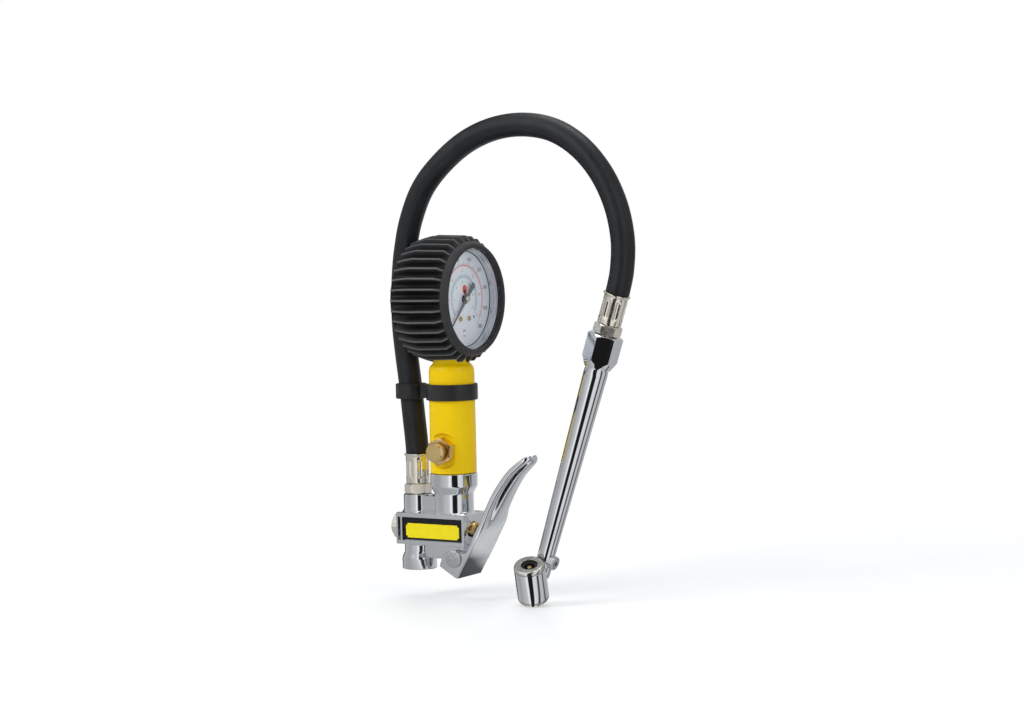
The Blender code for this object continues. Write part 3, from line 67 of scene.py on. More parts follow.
CLIP_Z, CLIP_HOSE_X, CLIP_BAND_R, CLIP_LOOP_R = (0.0993, 0.1086), -0.0033, 0.0150, 0.0091
GAUGE_Z, GAUGE_STEM_R = 0.1575, 0.0070
CASE_R, CASE_X = 0.0295, (0.0078, 0.0394)
DIAL_R, DIAL_X, PRINT_DEPTH = 0.0274, (0.0338, 0.0346), 0.00002
LENS_R, LENS_X, WINDOW_R = 0.0293, (0.0397, 0.0412), 0.0291
BOOT_R, BOOT_BACK_X, BOOT_OPENING_R = 0.0298, 0.0054, 0.0220
BOOT_FRONT_X, RIB_COUNT, VALLEY_R = 0.0434, 36, 0.0318
RIB_END_X, RIB_END_R = 0.0398, 0.0331
RIB_CREST = ((0.0066, 0.0342), (0.0180, 0.0370), (0.0366, 0.0364))
POINTER_ZERO, POINTER_X = math.radians(225), 0.0364
DIAL_SCREW_Y, DIAL_SCREW_DROP = 0.0044, 0.0114
HOSE_R, HOSE_CRIMPED_R = 0.00675, 0.0056
FERRULE_R, FERRULE_RIM_R, FERRULE_BORE_R, FERRULE_LENGTH = 0.0068, 0.0077, 0.00595, 0.0174
FERRULE_FLUTES, FLUTE_DEPTH = 8, 0.00055
NIPPLE_AF, NIPPLE_HEX = 0.0140, 0.0057
HOSE_CRIMP_DEPTH = 0.0150
CHUCK_TOP, CHUCK_TILT = Vector((0.1349, 0.0, 0.1600)), math.radians(18.2)
CHUCK_HEX_AF, CHUCK_HEX = 0.0175, (-0.0237, -0.0400)
WAND_TOP, WAND_TOP_R, WAND_END, WAND_END_R = -0.0440, 0.0069, -0.1670, 0.0050
BOSS_AT, BOSS_R, BOSS_REACH = -0.1580, 0.0041, 0.0072
HEAD_CENTRE = Vector((0.0792, -0.0051, -0.0025))
HEAD_AXIS = Vector((0.150, -0.440, 0.885)).normalized()
HEAD_R, HEAD_HALF, CAP_FLANGE, CAP_HOLE_R, HEAD_BORE_R = 0.00895, 0.0120, 0.0020, 0.0047, 0.0066

# Along the lever's outer face, heel to tip: x, z, half width, flange depth, rib height
LEVER_STATIONS = (
    (0.0343, -0.0027, 0.0136, 0.0138, 0.0000),
    (0.0386, 0.0046, 0.0136, 0.0143, 0.0000),
    (0.0413, 0.0088, 0.0136, 0.0072, 0.0000),
    (0.0431, 0.0118, 0.0136, 0.0027, 0.0000),
    (0.0486, 0.0215, 0.0134, 0.0032, 0.0004),
    (0.0532, 0.0295, 0.0126, 0.0034, 0.0020),
    (0.0566, 0.0380, 0.0112, 0.0036, 0.0032),
    (0.0616, 0.0477, 0.0098, 0.0036, 0.0036),
    (0.0686, 0.0574, 0.0084, 0.0034, 0.0032),
    (0.0744, 0.0626, 0.0074, 0.0032, 0.0026),
    (0.0778, 0.0650, 0.0062, 0.0032, 0.0020),
    (0.0796, 0.0660, 0.0044, 0.0030, 0.0013),
)

# The hose's centre line between the two ferrules, in the plane Y = 0: x, z
HOSE_ROUTE = (
    (-0.0005, 0.0760), (-0.0023, 0.0930), (-0.0041, 0.1102), (-0.0062, 0.1265),
    (-0.0078, 0.1423), (-0.0080, 0.1570), (-0.0072, 0.1715), (-0.0052, 0.1861),
    (-0.0010, 0.2030), (0.0073, 0.2206), (0.0202, 0.2346), (0.0376, 0.2468),
    (0.0570, 0.2538), (0.0771, 0.2553), (0.0965, 0.2513), (0.1130, 0.2413),
    (0.1262, 0.2265), (0.1350, 0.2087), (0.1389, 0.1900), (0.1382, 0.1735),
)

CHUCK = Matrix.Translation(CHUCK_TOP) @ Matrix.Rotation(CHUCK_TILT, 4, "Y")
FACING_FRONT = Matrix(((0, 0, 1), (1, 0, 0), (0, 1, 0))).to_4x4()    # XY drawn, seen from +X


# ---------------------------------------------------------------- camera, floor and light

CAMERA_PLACE, CAMERA_LENS, CAMERA_SENSOR = (0.7177, -1.0633, 0.1902), 77.34, 36
CAMERA_TURN, CAMERA_DIP, CAMERA_ROLL = (math.radians(a) for a in (31.5, 3.1, 1.15))
WHITE = (1, 1, 1, 1)
ROOM_COLOUR, ROOM_STRENGTH = (0.92, 0.95, 1.0, 1), 0.40
FLOOR_Z, FLOOR_R, FLOOR_COLOUR, FLOOR_GLOW = -0.0169, 2.6, (0.82, 0.82, 0.82, 1), 0.24
FLOOR_FADE = (0.18, 0.75)
PART_MIDDLE = Vector((0.06, 0, 0.12))
# Each lamp: name, place, width, height, power in watts
LAMPS = (
    ("key_softbox", (-0.75, -1.35, 1.15), 0.9, 0.9, 17),
    ("side_softbox", (1.6, -0.35, 0.75), 0.6, 1.0, 6.8),
    ("top_softbox", (0.1, 0.35, 1.7), 1.0, 0.8, 6.5),
    ("back_softbox", (-0.9, 1.3, 0.8), 0.8, 0.9, 6),
)
TENT_MIDDLE, TENT_R, TENT_HEIGHT = (0.080, -0.005), 0.24, 0.60
# Round the tent, from -X by way of -Y: how bright the cloth is. Low values are its gaps.
TENT_BANDS = (
    (0.00, 0.50), (0.03, 0.42), (0.10, 0.40), (0.15, 0.52), (0.22, 0.60), (0.245, 0.95),
    (0.272, 0.95), (0.285, 0.015), (0.365, 0.010), (0.380, 0.84), (0.455, 0.72),
    (0.470, 0.06), (0.500, 0.06), (0.515, 0.62), (0.585, 0.50), (0.598, 0.08),
    (0.618, 0.08), (0.632, 0.45), (0.70, 0.46), (0.73, 0.50), (0.83, 0.66),
    (0.855, 0.40), (0.875, 0.10), (0.955, 0.06), (0.975, 0.42), (1.0, 0.50),
)


def add_node(tree, kind, feeds, values=None, **settings):
    """A node with its settings, its plain input values, and the sockets that feed it."""
    node = tree.nodes.new("ShaderNode" + kind)
    for name, value in settings.items():
        setattr(node, name, value)
    for socket, value in (values or {}).items():
        node.inputs[socket].default_value = value
    for socket, source in feeds.items():
        tree.links.new(source, node.inputs[socket])
    return node


def set_camera():
    """The photograph's view: a little above the part, a third of a right angle round."""
    forward = Vector((-math.sin(CAMERA_TURN) * math.cos(CAMERA_DIP),
                      math.cos(CAMERA_TURN) * math.cos(CAMERA_DIP), -math.sin(CAMERA_DIP)))
    right = Vector((math.cos(CAMERA_TURN), math.sin(CAMERA_TURN), 0))
    down = forward.cross(right)
    rolled_right = right * math.cos(CAMERA_ROLL) + down * math.sin(CAMERA_ROLL)
    rolled_down = down * math.cos(CAMERA_ROLL) - right * math.sin(CAMERA_ROLL)
    bpy.ops.object.camera_add()
    camera = bpy.context.object
    camera.name = "camera"
    facing = Matrix((rolled_right, -rolled_down, -forward)).transposed().to_4x4()
    camera.matrix_world = Matrix.Translation(CAMERA_PLACE) @ facing
    camera.data.lens = CAMERA_LENS
    camera.data.sensor_width = CAMERA_SENSOR
    bpy.context.scene.camera = camera


def seen_directly(tree):
    """1 on camera, mirror and see-through rays, so that metal and glass show the same
    white background as the camera does."""
    path = add_node(tree, "LightPath", {})
    total = path.outputs["Is Camera Ray"]
    for ray in ("Is Glossy Ray", "Is Transmission Ray"):
        total = add_node(tree, "Math", {0: total, 1: path.outputs[ray]}, operation="ADD",
                         use_clamp=True).outputs["Value"]
    return total


def set_world():
    scene = bpy.context.scene
    scene.view_settings.view_transform = "Standard"
    scene.world = scene.world or bpy.data.worlds.new("studio")
    scene.world.use_nodes = True
    tree = scene.world.node_tree
    tree.nodes.clear()
    room = add_node(tree, "Background", {}, {"Color": ROOM_COLOUR, "Strength": ROOM_STRENGTH})
    white = add_node(tree, "Background", {}, {"Color": WHITE})
    mix = add_node(tree, "MixShader", {"Fac": seen_directly(tree),
                                       1: room.outputs["Background"],
                                       2: white.outputs["Background"]})
    add_node(tree, "OutputWorld", {"Surface": mix.outputs["Shader"]})


def make_floor():
    """Paper that keeps the shadow; away from the part it turns into the background."""
    paper = bpy.data.materials.new("white_paper")
    paper.use_nodes = True
    tree = paper.node_tree
    shader = tree.nodes["Principled BSDF"]
    for socket, value in {"Base Color": FLOOR_COLOUR, "Roughness": 0.9,
                          "Specular IOR Level": 0.1, "Emission Color": WHITE}.items():
        shader.inputs[socket].default_value = value
    seen = seen_directly(tree)
    glow = add_node(tree, "Math", {0: seen}, {1: FLOOR_GLOW}, operation="MULTIPLY")
    tree.links.new(glow.outputs["Value"], shader.inputs["Emission Strength"])
    place = add_node(tree, "TexCoord", {})
    away = add_node(tree, "VectorMath", {0: place.outputs["Object"]}, operation="LENGTH")
    fade = add_node(tree, "MapRange", {"Value": away.outputs["Value"]},
                    {"From Min": FLOOR_FADE[0], "From Max": FLOOR_FADE[1]},
                    interpolation_type="SMOOTHSTEP")
    far = add_node(tree, "Math", {0: fade.outputs["Result"], 1: seen},
                   operation="MULTIPLY")
    white = add_node(tree, "Emission", {}, {"Color": WHITE})
    blend = add_node(tree, "MixShader", {"Fac": far.outputs["Value"],
                                         1: shader.outputs["BSDF"],
                                         2: white.outputs["Emission"]})
    tree.links.new(blend.outputs["Shader"], tree.nodes["Material Output"].inputs["Surface"])
    bpy.ops.mesh.primitive_circle_add(vertices=96, radius=FLOOR_R, fill_type="NGON",
                                      location=(PART_MIDDLE.x, 0, FLOOR_Z))
    floor = bpy.context.object
    floor.name = "floor"
    floor.data.materials.append(paper)


def make_tent():
    """White cloth with dark gaps round the part, and over the floor's middle. Only
    mirror rays see it."""
    cloth = bpy.data.materials.new("tent_cloth")
    cloth.use_nodes = True
    tree = cloth.node_tree
    tree.nodes.clear()
    place = add_node(tree, "TexCoord", {})
    round_it = add_node(tree, "TexGradient", {"Vector": place.outputs["Object"]},
                        gradient_type="RADIAL")
    bands = add_node(tree, "ValToRGB", {"Fac": round_it.outputs["Color"]})
    stops = bands.color_ramp.elements
    for at, value in TENT_BANDS[1:-1]:
        stops.new(at).color = (value, value, value, 1)
    for stop, (at, value) in ((stops[0], TENT_BANDS[0]), (stops[-1], TENT_BANDS[-1])):
        stop.color = (value, value, value, 1)
    glow = add_node(tree, "Emission", {"Color": bands.outputs["Color"]})
    add_node(tree, "OutputMaterial", {"Surface": glow.outputs["Emission"]})
    foot = FLOOR_Z + FIT
    bpy.ops.mesh.primitive_cylinder_add(vertices=128, radius=TENT_R, depth=TENT_HEIGHT,
                                        end_fill_type="NOTHING",
                                        location=(*TENT_MIDDLE, foot + TENT_HEIGHT / 2))
    bpy.context.object.name = "light_tent"
    pieces = [bpy.context.object]
    bpy.ops.mesh.primitive_circle_add(vertices=128, radius=TENT_R, fill_type="NGON",
                                      location=(*TENT_MIDDLE, foot))
    bpy.context.object.name = "tent_skirt"
    pieces.append(bpy.context.object)
    for piece in pieces:
        piece.data.materials.append(cloth)
        piece.visible_camera = piece.visible_diffuse = piece.visible_shadow = False
        piece.visible_transmission = False


def set_lamps():
    for name, place, width, height, power in LAMPS:
        bpy.ops.object.light_add(type="AREA", location=place)
        lamp = bpy.context.object
        lamp.name = name
        look = PART_MIDDLE - Vector(place)
        lamp.rotation_euler = look.to_track_quat("-Z", "Y").to_euler()
        lamp.data.shape = "RECTANGLE"
        lamp.data.size, lamp.data.size_y = width, height
        lamp.data.energy = power


# ---------------------------------------------------------------- finishes

class Finish:
    """A Principled material with a few helpers for its surface detail."""

    def __init__(self, name, colour, roughness, metallic=0.0, specular=None, coat=None):
        self.material = bpy.data.materials.new(name)
        self.material.use_nodes = True
        self.tree = self.material.node_tree
        self.shader = self.tree.nodes["Principled BSDF"]
        self.colour = (*colour, 1)
        sockets = {"Base Color": self.colour, "Roughness": roughness, "Metallic": metallic}
        if specular is not None:
            sockets["Specular IOR Level"] = specular
        if coat is not None:
            sockets.update({"Coat Weight": coat, "Coat Roughness": 0.12})
        for socket, value in sockets.items():
            self.shader.inputs[socket].default_value = value
        self.relief = None
        self.place = self.add("TexCoord", {}).outputs["Object"]

    def add(self, kind, feeds, values=None, **settings):
        return add_node(self.tree, kind, feeds, values, **settings)

    def laid_to(self, matrix):
        """Object coordinates as seen from a piece's own axis, which becomes local Z."""
        back = matrix.inverted()
        return self.add("Mapping", {"Vector": self.place},
                        {"Location": back.to_translation(),
                         "Rotation": back.to_euler("XYZ")}).outputs["Vector"]

    def noise(self, scale, detail, stretch=None, vector=None):
        vector = vector or self.place
        if stretch:
            vector = self.add("Mapping", {"Vector": vector},
                              {"Scale": stretch}).outputs["Vector"]
        return self.add("TexNoise", {"Vector": vector},
                        {"Scale": scale, "Detail": detail}).outputs["Fac"]

    def ramp(self, value, low, high, from_low=0.35, from_high=0.65):
        """A value between two others, spread over the useful part of the noise."""
        return self.add("MapRange", {"Value": value}, {
            "From Min": from_low, "From Max": from_high,
            "To Min": low, "To Max": high}).outputs["Result"]

    def times(self, value, other):
        return self.add("Math", {0: value, 1: other}, operation="MULTIPLY").outputs["Value"]

    def grained(self, scale, detail, low, high, stretch=None, vector=None):
        """Roughness that wanders between two values."""
        grain = self.noise(scale, detail, stretch, vector)
        self.tree.links.new(self.ramp(grain, low, high), self.shader.inputs["Roughness"])
        return self

    def tint(self, value, other, low=0.35, high=0.65):
        """Blend the colour towards another where the value is high."""
        mix = self.add("Mix", {"Factor": self.ramp(value, 0.0, 1.0, low, high)},
                       {"B": (*other, 1)}, data_type="RGBA")
        earlier = self.shader.inputs["Base Color"].links
        if earlier:
            self.tree.links.new(earlier[0].from_socket, mix.inputs["A"])
        else:
            mix.inputs["A"].default_value = self.colour
        self.tree.links.new(mix.outputs["Result"], self.shader.inputs["Base Color"])
        return self

    def tinted(self, scale, detail, other, low=0.35, high=0.65, vector=None):
        return self.tint(self.noise(scale, detail, None, vector), other, low, high)

    def bump(self, height, strength, distance):
        feeds = {"Height": height}
        if self.relief:
            feeds["Normal"] = self.relief
        self.relief = self.add("Bump", feeds, {"Strength": strength,
                                               "Distance": distance}).outputs["Normal"]
        self.tree.links.new(self.relief, self.shader.inputs["Normal"])
        return self

    def bumped(self, scale, detail, strength, distance, stretch=None, vector=None):
        return self.bump(self.noise(scale, detail, stretch, vector), strength, distance)

    def turning_marks(self, matrix, spacing, strength, distance):
        """Fine rings about a piece's own axis, as a lathe leaves them."""
        rings = self.add("TexWave", {"Vector": self.laid_to(matrix)},
                         {"Scale": 1 / spacing, "Distortion": 1.5, "Detail": 2.0},
                         wave_type="RINGS", rings_direction="Z")
        return self.bump(rings.outputs["Fac"], strength, distance)


def chrome_plate():
    return (Finish("chrome_plate", (0.83, 0.85, 0.88), 0.08, 1.0)
            .grained(260, 4, 0.04, 0.12).tinted(45, 3, (0.76, 0.79, 0.83))
            .bumped(90, 2, 0.12, 0.0004).bumped(1500, 2, 0.03, 0.00005))


def lever_chrome():
    return (Finish("lever_chrome", (0.82, 0.84, 0.87), 0.10, 1.0)
            .grained(200, 4, 0.06, 0.18, (1, 4, 1)).tinted(60, 3, (0.74, 0.77, 0.81))
            .bumped(70, 2, 0.16, 0.0005))


def wand_chrome():
    finish = Finish("wand_chrome", (0.83, 0.85, 0.88), 0.06, 1.0)
    along = finish.laid_to(CHUCK)
    return (finish.grained(220, 4, 0.03, 0.10, (1, 1, 0.12), along)
            .tinted(50, 2, (0.75, 0.78, 0.82), vector=along)
            .bumped(80, 2, 0.13, 0.0004, (1, 1, 0.25), along))


def nickel_plate(name, matrix, colour=(0.94, 0.90, 0.81), worn=(0.90, 0.85, 0.75)):
    return (Finish(name, colour, 0.24, 1.0).grained(500, 4, 0.17, 0.25)
            .tinted(180, 3, worn).bumped(350, 2, 0.03, 0.0001)
            .turning_marks(matrix, 0.0009, 0.03, 0.00004))


def turned_brass(name, matrix):
    return (Finish(name, (0.82, 0.62, 0.30), 0.24, 1.0).grained(600, 4, 0.20, 0.26)
            .tinted(220, 3, (0.77, 0.56, 0.25)).turning_marks(matrix, 0.0007, 0.02, 0.00004))


def zinc_plate():
    return (Finish("zinc_plate", (0.66, 0.67, 0.68), 0.30, 1.0)
            .grained(700, 4, 0.22, 0.42).tinted(200, 3, (0.56, 0.57, 0.59))
            .bumped(900, 3, 0.12, 0.00006))


def spun_steel(matrix):
    """The gauge case's bright wall, with the faint rings that spinning leaves."""
    return (Finish("spun_steel", (0.72, 0.74, 0.77), 0.16, 1.0)
            .grained(150, 2, 0.12, 0.20).tinted(60, 2, (0.66, 0.69, 0.73))
            .turning_marks(matrix, 0.0011, 0.10, 0.00005))


def yellow_enamel():
    return (Finish("yellow_enamel", (0.93, 0.63, 0.001), 0.30, specular=0.14, coat=0.02)
            .grained(420, 3, 0.26, 0.36).tinted(60, 3, (0.915, 0.61, 0.001))
            .bumped(700, 2, 0.12, 0.00008))


def boot_rubber():
    """Moulded rubber with painted shade and light: the valleys are painted nearly black as
    shade, and the crests are painted greyer, partly as rubbed wear and partly as a painted
    highlight.
    """
    finish = Finish("boot_rubber", (0.030, 0.031, 0.034), 0.55, specular=0.35)
    finish.tinted(120, 5, (0.042, 0.041, 0.040), 0.45, 0.75)
    along = finish.laid_to(ON_GAUGE)
    height = finish.add("SeparateXYZ", {"Vector": along}).outputs["Z"]
    ribbed = finish.ramp(height, 1.0, 0.0, RIB_END_X - 0.0008, RIB_END_X)
    turn = finish.add("TexGradient", {"Vector": along}, gradient_type="RADIAL")
    ribs = finish.add("Math", {0: turn.outputs["Fac"]}, {1: RIB_COUNT},
                      operation="MULTIPLY").outputs["Value"]
    from_crest = finish.add("Math", {0: ribs}, {1: 0.5}, operation="PINGPONG").outputs["Value"]
    # Painted shade in the valleys between the ribs, and a painted highlight with some wear
    # along the crests.
    valley_painted_shade = finish.times(finish.ramp(from_crest, 0.0, 1.0, 0.09, 0.20), ribbed)
    crest_wear_and_highlight = finish.times(finish.ramp(from_crest, 1.0, 0.0, 0.055, 0.10), ribbed)
    # Painted shade: the valleys are darkened to near black; painted highlight: the crests are
    # lightened.
    finish.tint(valley_painted_shade, (0.004, 0.004, 0.005), 0.0, 1.0)
    finish.tint(crest_wear_and_highlight, (0.112, 0.114, 0.118), 0.0, 1.0)
    return finish.grained(300, 4, 0.46, 0.62).bumped(1800, 4, 0.22, 0.00006)


def hose_rubber():
    return (Finish("hose_rubber", (0.009, 0.011, 0.014), 0.40, specular=0.32)
            .grained(160, 5, 0.34, 0.48).tinted(50, 4, (0.016, 0.017, 0.020), 0.45, 0.75)
            .bumped(90, 3, 0.10, 0.0004).bumped(2200, 3, 0.22, 0.00006))


def seal_rubber():
    return (Finish("seal_rubber", (0.010, 0.010, 0.011), 0.50)
            .grained(900, 3, 0.42, 0.60).bumped(2500, 3, 0.25, 0.00005))


def clip_nylon():
    return (Finish("clip_nylon", (0.011, 0.011, 0.012), 0.38, specular=0.35)
            .grained(500, 4, 0.30, 0.48).tinted(90, 3, (0.024, 0.024, 0.025))
            .bumped(1400, 3, 0.18, 0.00006))


def dial_lacquer():
    return (Finish("dial_lacquer", (0.88, 0.91, 0.96), 0.38)
            .grained(300, 3, 0.32, 0.44).tinted(90, 2, (0.85, 0.89, 0.95))
            .bumped(1500, 2, 0.05, 0.00004))


def ink(name, colour):
    return (Finish(name, colour, 0.45).grained(1500, 3, 0.38, 0.52)
            .tinted(1200, 3, tuple(min(1, c * 1.3 + 0.02) for c in colour)))


def pointer_paint():
    return (Finish("pointer_paint", (0.125, 0.125, 0.13), 0.35)
            .grained(1200, 3, 0.28, 0.44).tinted(700, 3, (0.155, 0.155, 0.16)))


def label_film(name, colour, other):
    return (Finish(name, colour, 0.30, specular=0.25, coat=0.05)
            .grained(500, 3, 0.24, 0.38).tinted(160, 3, other)
            .bumped(900, 2, 0.06, 0.00005))


def lens_sheet():
    """Clear moulded plastic: it shows the dial, and towards its edge more of its grey-blue
    colour shows, a painted reflection, along with its own gloss.
    """
    finish = Finish("lens_sheet", (0.50, 0.56, 0.62), 0.04).grained(60, 3, 0.03, 0.09)
    facing = finish.add("LayerWeight", {}, {"Blend": 0.5}).outputs["Facing"]
    # Painted reflection: the grey-blue base colour covers more of the lens towards its edge.
    finish.tree.links.new(finish.ramp(facing, 0.03, 0.40, 0.6, 1.0),
                          finish.shader.inputs["Alpha"])
    return finish


# ---------------------------------------------------------------- modelling helpers

def pick(obj):
    bpy.ops.object.select_all(action="DESELECT")
    obj.select_set(True)
    bpy.context.view_layer.objects.active = obj
    return obj


def named(name):
    """The primitive just added, with its name and its place put into its mesh."""
    obj = pick(bpy.context.object)
    obj.name = obj.data.name = name
    bpy.ops.object.transform_apply(location=True, rotation=True, scale=True)
    return obj


def stand(obj, matrix):
    """Move a piece that was made at the origin to its place, in its mesh."""
    pick(obj)
    obj.matrix_world = matrix
    bpy.ops.object.transform_apply(location=True, rotation=True, scale=True)
    return obj


def aimed(place, direction):
    """The matrix that lays a piece's own Z on a direction, its origin at a place."""
    turn = Z_AXIS.rotation_difference(Vector(direction)).to_matrix().to_4x4()
    return Matrix.Translation(place) @ turn


def apply_modifier(obj, kind, **settings):
    pick(obj)
    modifier = obj.modifiers.new(kind.lower(), kind)
    for name, value in settings.items():
        setattr(modifier, name, value)
    bpy.ops.object.modifier_apply(modifier=modifier.name)
    return obj


def soften(obj, width, segments=3, angle=35):
    """Round every edge that turns by more than the angle."""
    return apply_modifier(obj, "BEVEL", width=width, segments=segments,
                          limit_method="ANGLE", angle_limit=math.radians(angle))


def shade(obj, angle=32, weighted=False):
    pick(obj)
    bpy.ops.object.shade_smooth_by_angle(angle=math.radians(angle))
    if weighted:
        apply_modifier(obj, "WEIGHTED_NORMAL", keep_sharp=True)
    return obj


def boolean(obj, operation, tools):
    for tool in tools:
        apply_modifier(obj, "BOOLEAN", operation=operation, object=tool, solver="EXACT")
        bpy.data.objects.remove(tool, do_unlink=True)
    return obj


def weld(obj, *tools):
    return boolean(obj, "UNION", tools)


def cut(obj, *tools):
    return boolean(obj, "DIFFERENCE", tools)


def fit(obj, finish, slot, *nodes, body="inflator"):
    """Give a piece its finish, its body and the solids that it stands for."""
    obj.data.materials.clear()
    obj.data.materials.append(finish.material)
    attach(obj, body)
    if nodes:
        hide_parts(*nodes)
    return obj


def eased(profile, radius, steps=3, loop=False):
    """A profile with its corners rounded off; the two ends stay unless it is a loop."""
    points = [Vector(p) for p in profile]
    if loop:
        triples = zip([points[-1]] + points[:-1], points, points[1:] + points[:1])
        result = []
    else:
        triples = zip(points, points[1:], points[2:])
        result = [tuple(points[0])]
    for before, corner, after in triples:
        back, on = before - corner, after - corner
        reach = min(radius, back.length * 0.45, on.length * 0.45)
        start, end = corner + back.normalized() * reach, corner + on.normalized() * reach
        for i in range(steps + 1):
            t = i / steps
            result.append(tuple(start * (1 - t) ** 2 + corner * 2 * t * (1 - t)
                                + end * t ** 2))
    if not loop:
        result.append(tuple(points[-1]))
    return result


def close_skin(threshold):
    """Merge the points that meet, turn all faces outwards and leave edit mode."""
    bpy.ops.mesh.select_all(action="SELECT")
    bpy.ops.mesh.remove_doubles(threshold=threshold)
    bpy.ops.mesh.normals_make_consistent(inside=False)
    bpy.ops.object.mode_set(mode="OBJECT")


def turned(name, profile, sides=72, loop=False):
    """Turn an (r, z) profile about Z. A loop gives a ring; any other profile starts and
    ends on the axis."""
    bpy.ops.mesh.primitive_plane_add(size=0.002)
    obj = named(name)
    line = list(profile) + ([profile[0]] if loop else [])
    bpy.ops.object.mode_set(mode="EDIT")
    bpy.ops.mesh.select_all(action="SELECT")
    bpy.ops.mesh.merge(type="CENTER")
    bpy.ops.transform.translate(value=(line[0][0], 0, line[0][1]))
    for (r, z), (next_r, next_z) in zip(line, line[1:]):
        bpy.ops.mesh.extrude_vertices_move(
            TRANSFORM_OT_translate={"value": (next_r - r, 0, next_z - z)})
    bpy.ops.mesh.select_all(action="SELECT")
    bpy.ops.mesh.spin(steps=sides, angle=FULL_TURN, center=(0, 0, 0), axis=(0, 0, 1))
    close_skin(0.000001)
    return obj


def lathe(name, top, outline, foot, radius, steps, sides):
    """A solid turned about Z, with eased corners between two points on its axis."""
    return turned(name, [(0, top), *eased(outline, radius, steps), (0, foot)], sides)


def turned_ring(name, outline, radius, steps, sides):
    """A ring turned about Z from a closed outline with eased corners."""
    return turned(name, eased(outline, radius, steps, loop=True), sides, loop=True)


def rod(name, radius, low, high, sides=48):
    bpy.ops.mesh.primitive_cylinder_add(vertices=sides, radius=radius, depth=high - low,
                                        location=(0, 0, (low + high) / 2))
    return named(name)


def block(name, low, high, edge=0.0, segments=3):
    low, high = Vector(low), Vector(high)
    bpy.ops.mesh.primitive_cube_add(size=1, location=(low + high) / 2, scale=high - low)
    obj = named(name)
    return soften(obj, edge, segments) if edge else obj


def hex_bar(name, across_flats, low, high, chamfer_low=True, chamfer_high=True, cone=0.0):
    """Hexagon bar along Z, with softened edges and its corners turned off at the ends,
    or into a cone of some height at the low end."""
    corner = across_flats / 2 / math.cos(math.radians(30))
    bar = soften(rod(name, corner, low, high, 6), 0.00018, 2)
    inner, outer = across_flats / 2 * 0.97, corner * 1.03
    rise = (outer - inner) * 0.6
    top = [(inner, high), (outer, high - rise)] if chamfer_high else [(outer, high + 0.001)]
    foot = [(outer, low + rise), (inner, low)] if chamfer_low else [(outer, low - 0.001)]
    if cone:
        foot = [(outer, low + cone), (across_flats / 2 * 0.86, low)]
    blank = turned(name + "_blank", [(0, top[0][1]), *top, *foot, (0, foot[-1][1])], 96)
    boolean(bar, "INTERSECT", [blank])
    return bar


def lofted(name, rings, closed=False):
    """A skin over successive rings of points, closed on itself or capped at both ends."""
    rows = list(rings) + ([rings[0]] if closed else [])
    around = len(rows[0])
    bpy.ops.mesh.primitive_grid_add(x_subdivisions=around, y_subdivisions=len(rows) - 1,
                                    size=0.01)
    obj = named(name)
    for row, ring in enumerate(rows):
        for column in range(around + 1):
            obj.data.vertices[row * (around + 1) + column].co = ring[column % around]
    bpy.ops.object.mode_set(mode="EDIT")
    bpy.ops.mesh.select_all(action="SELECT")
    bpy.ops.mesh.remove_doubles(threshold=0.0000002)
    if not closed:
        bpy.ops.mesh.fill_holes(sides=0)
    bpy.ops.mesh.select_all(action="SELECT")
    bpy.ops.mesh.normals_make_consistent(inside=False)
    bpy.ops.object.mode_set(mode="OBJECT")
    return obj


def smooth_through(knots, steps):
    """Catmull-Rom values through the knots, `steps` to each span; knots are tuples."""
    padded = [knots[0], *knots, knots[-1]]
    result = []
    for a, b, c, d in zip(padded, padded[1:], padded[2:], padded[3:]):
        for i in range(steps):
            t = i / steps
            result.append(tuple(
                0.5 * (2 * q + (r - p) * t + (2 * p - 5 * q + 4 * r - s) * t * t
                       + (3 * q - p - 3 * r + s) * t ** 3)
                for p, q, r, s in zip(a, b, c, d)))
    result.append(tuple(knots[-1]))
    return result


# The axes on which the round pieces stand
ON_HANDLE = Matrix.Translation((HANDLE_X, 0, 0))
ON_BORE = aimed((0, 0, VALVE_Z), X_AXIS)
ON_PIN = aimed((PIN_X, 0, PIN_Z), Y_AXIS)
ON_GAUGE = aimed((0, 0, GAUGE_Z), X_AXIS)
ON_BOSS = aimed((0, 0, BOSS_AT), X_AXIS)


# ---------------------------------------------------------------- hose and its ends

def hose_line():
    """The hose's centre line with its two crimped ends, and its radius at each point."""
    lower_rim = COLUMN_TOP + FIT + NIPPLE_HEX + FIT + FERRULE_LENGTH
    down_wand = Vector((-math.sin(CHUCK_TILT), 0, -math.cos(CHUCK_TILT)))
    crimp = HOSE_CRIMPED_R / HOSE_R
    points = [Vector((0, 0, lower_rim - HOSE_CRIMP_DEPTH)), Vector((0, 0, lower_rim - 0.0018)),
              Vector((0, 0, lower_rim + 0.0006))]
    factors = [crimp, crimp, 1.0]
    knots = [(0.0, lower_rim + 0.0020), *HOSE_ROUTE,
             tuple((CHUCK_TOP - down_wand * 0.0020)[i] for i in (0, 2))]
    for x, z in smooth_through(knots, 6):
        points.append(Vector((x, 0, z)))
        factors.append(1.0)
    points += [CHUCK_TOP - down_wand * 0.0006, CHUCK_TOP + down_wand * 0.0018,
               CHUCK_TOP + down_wand * HOSE_CRIMP_DEPTH]
    factors += [1.0, crimp, crimp]
    return points, factors, lower_rim


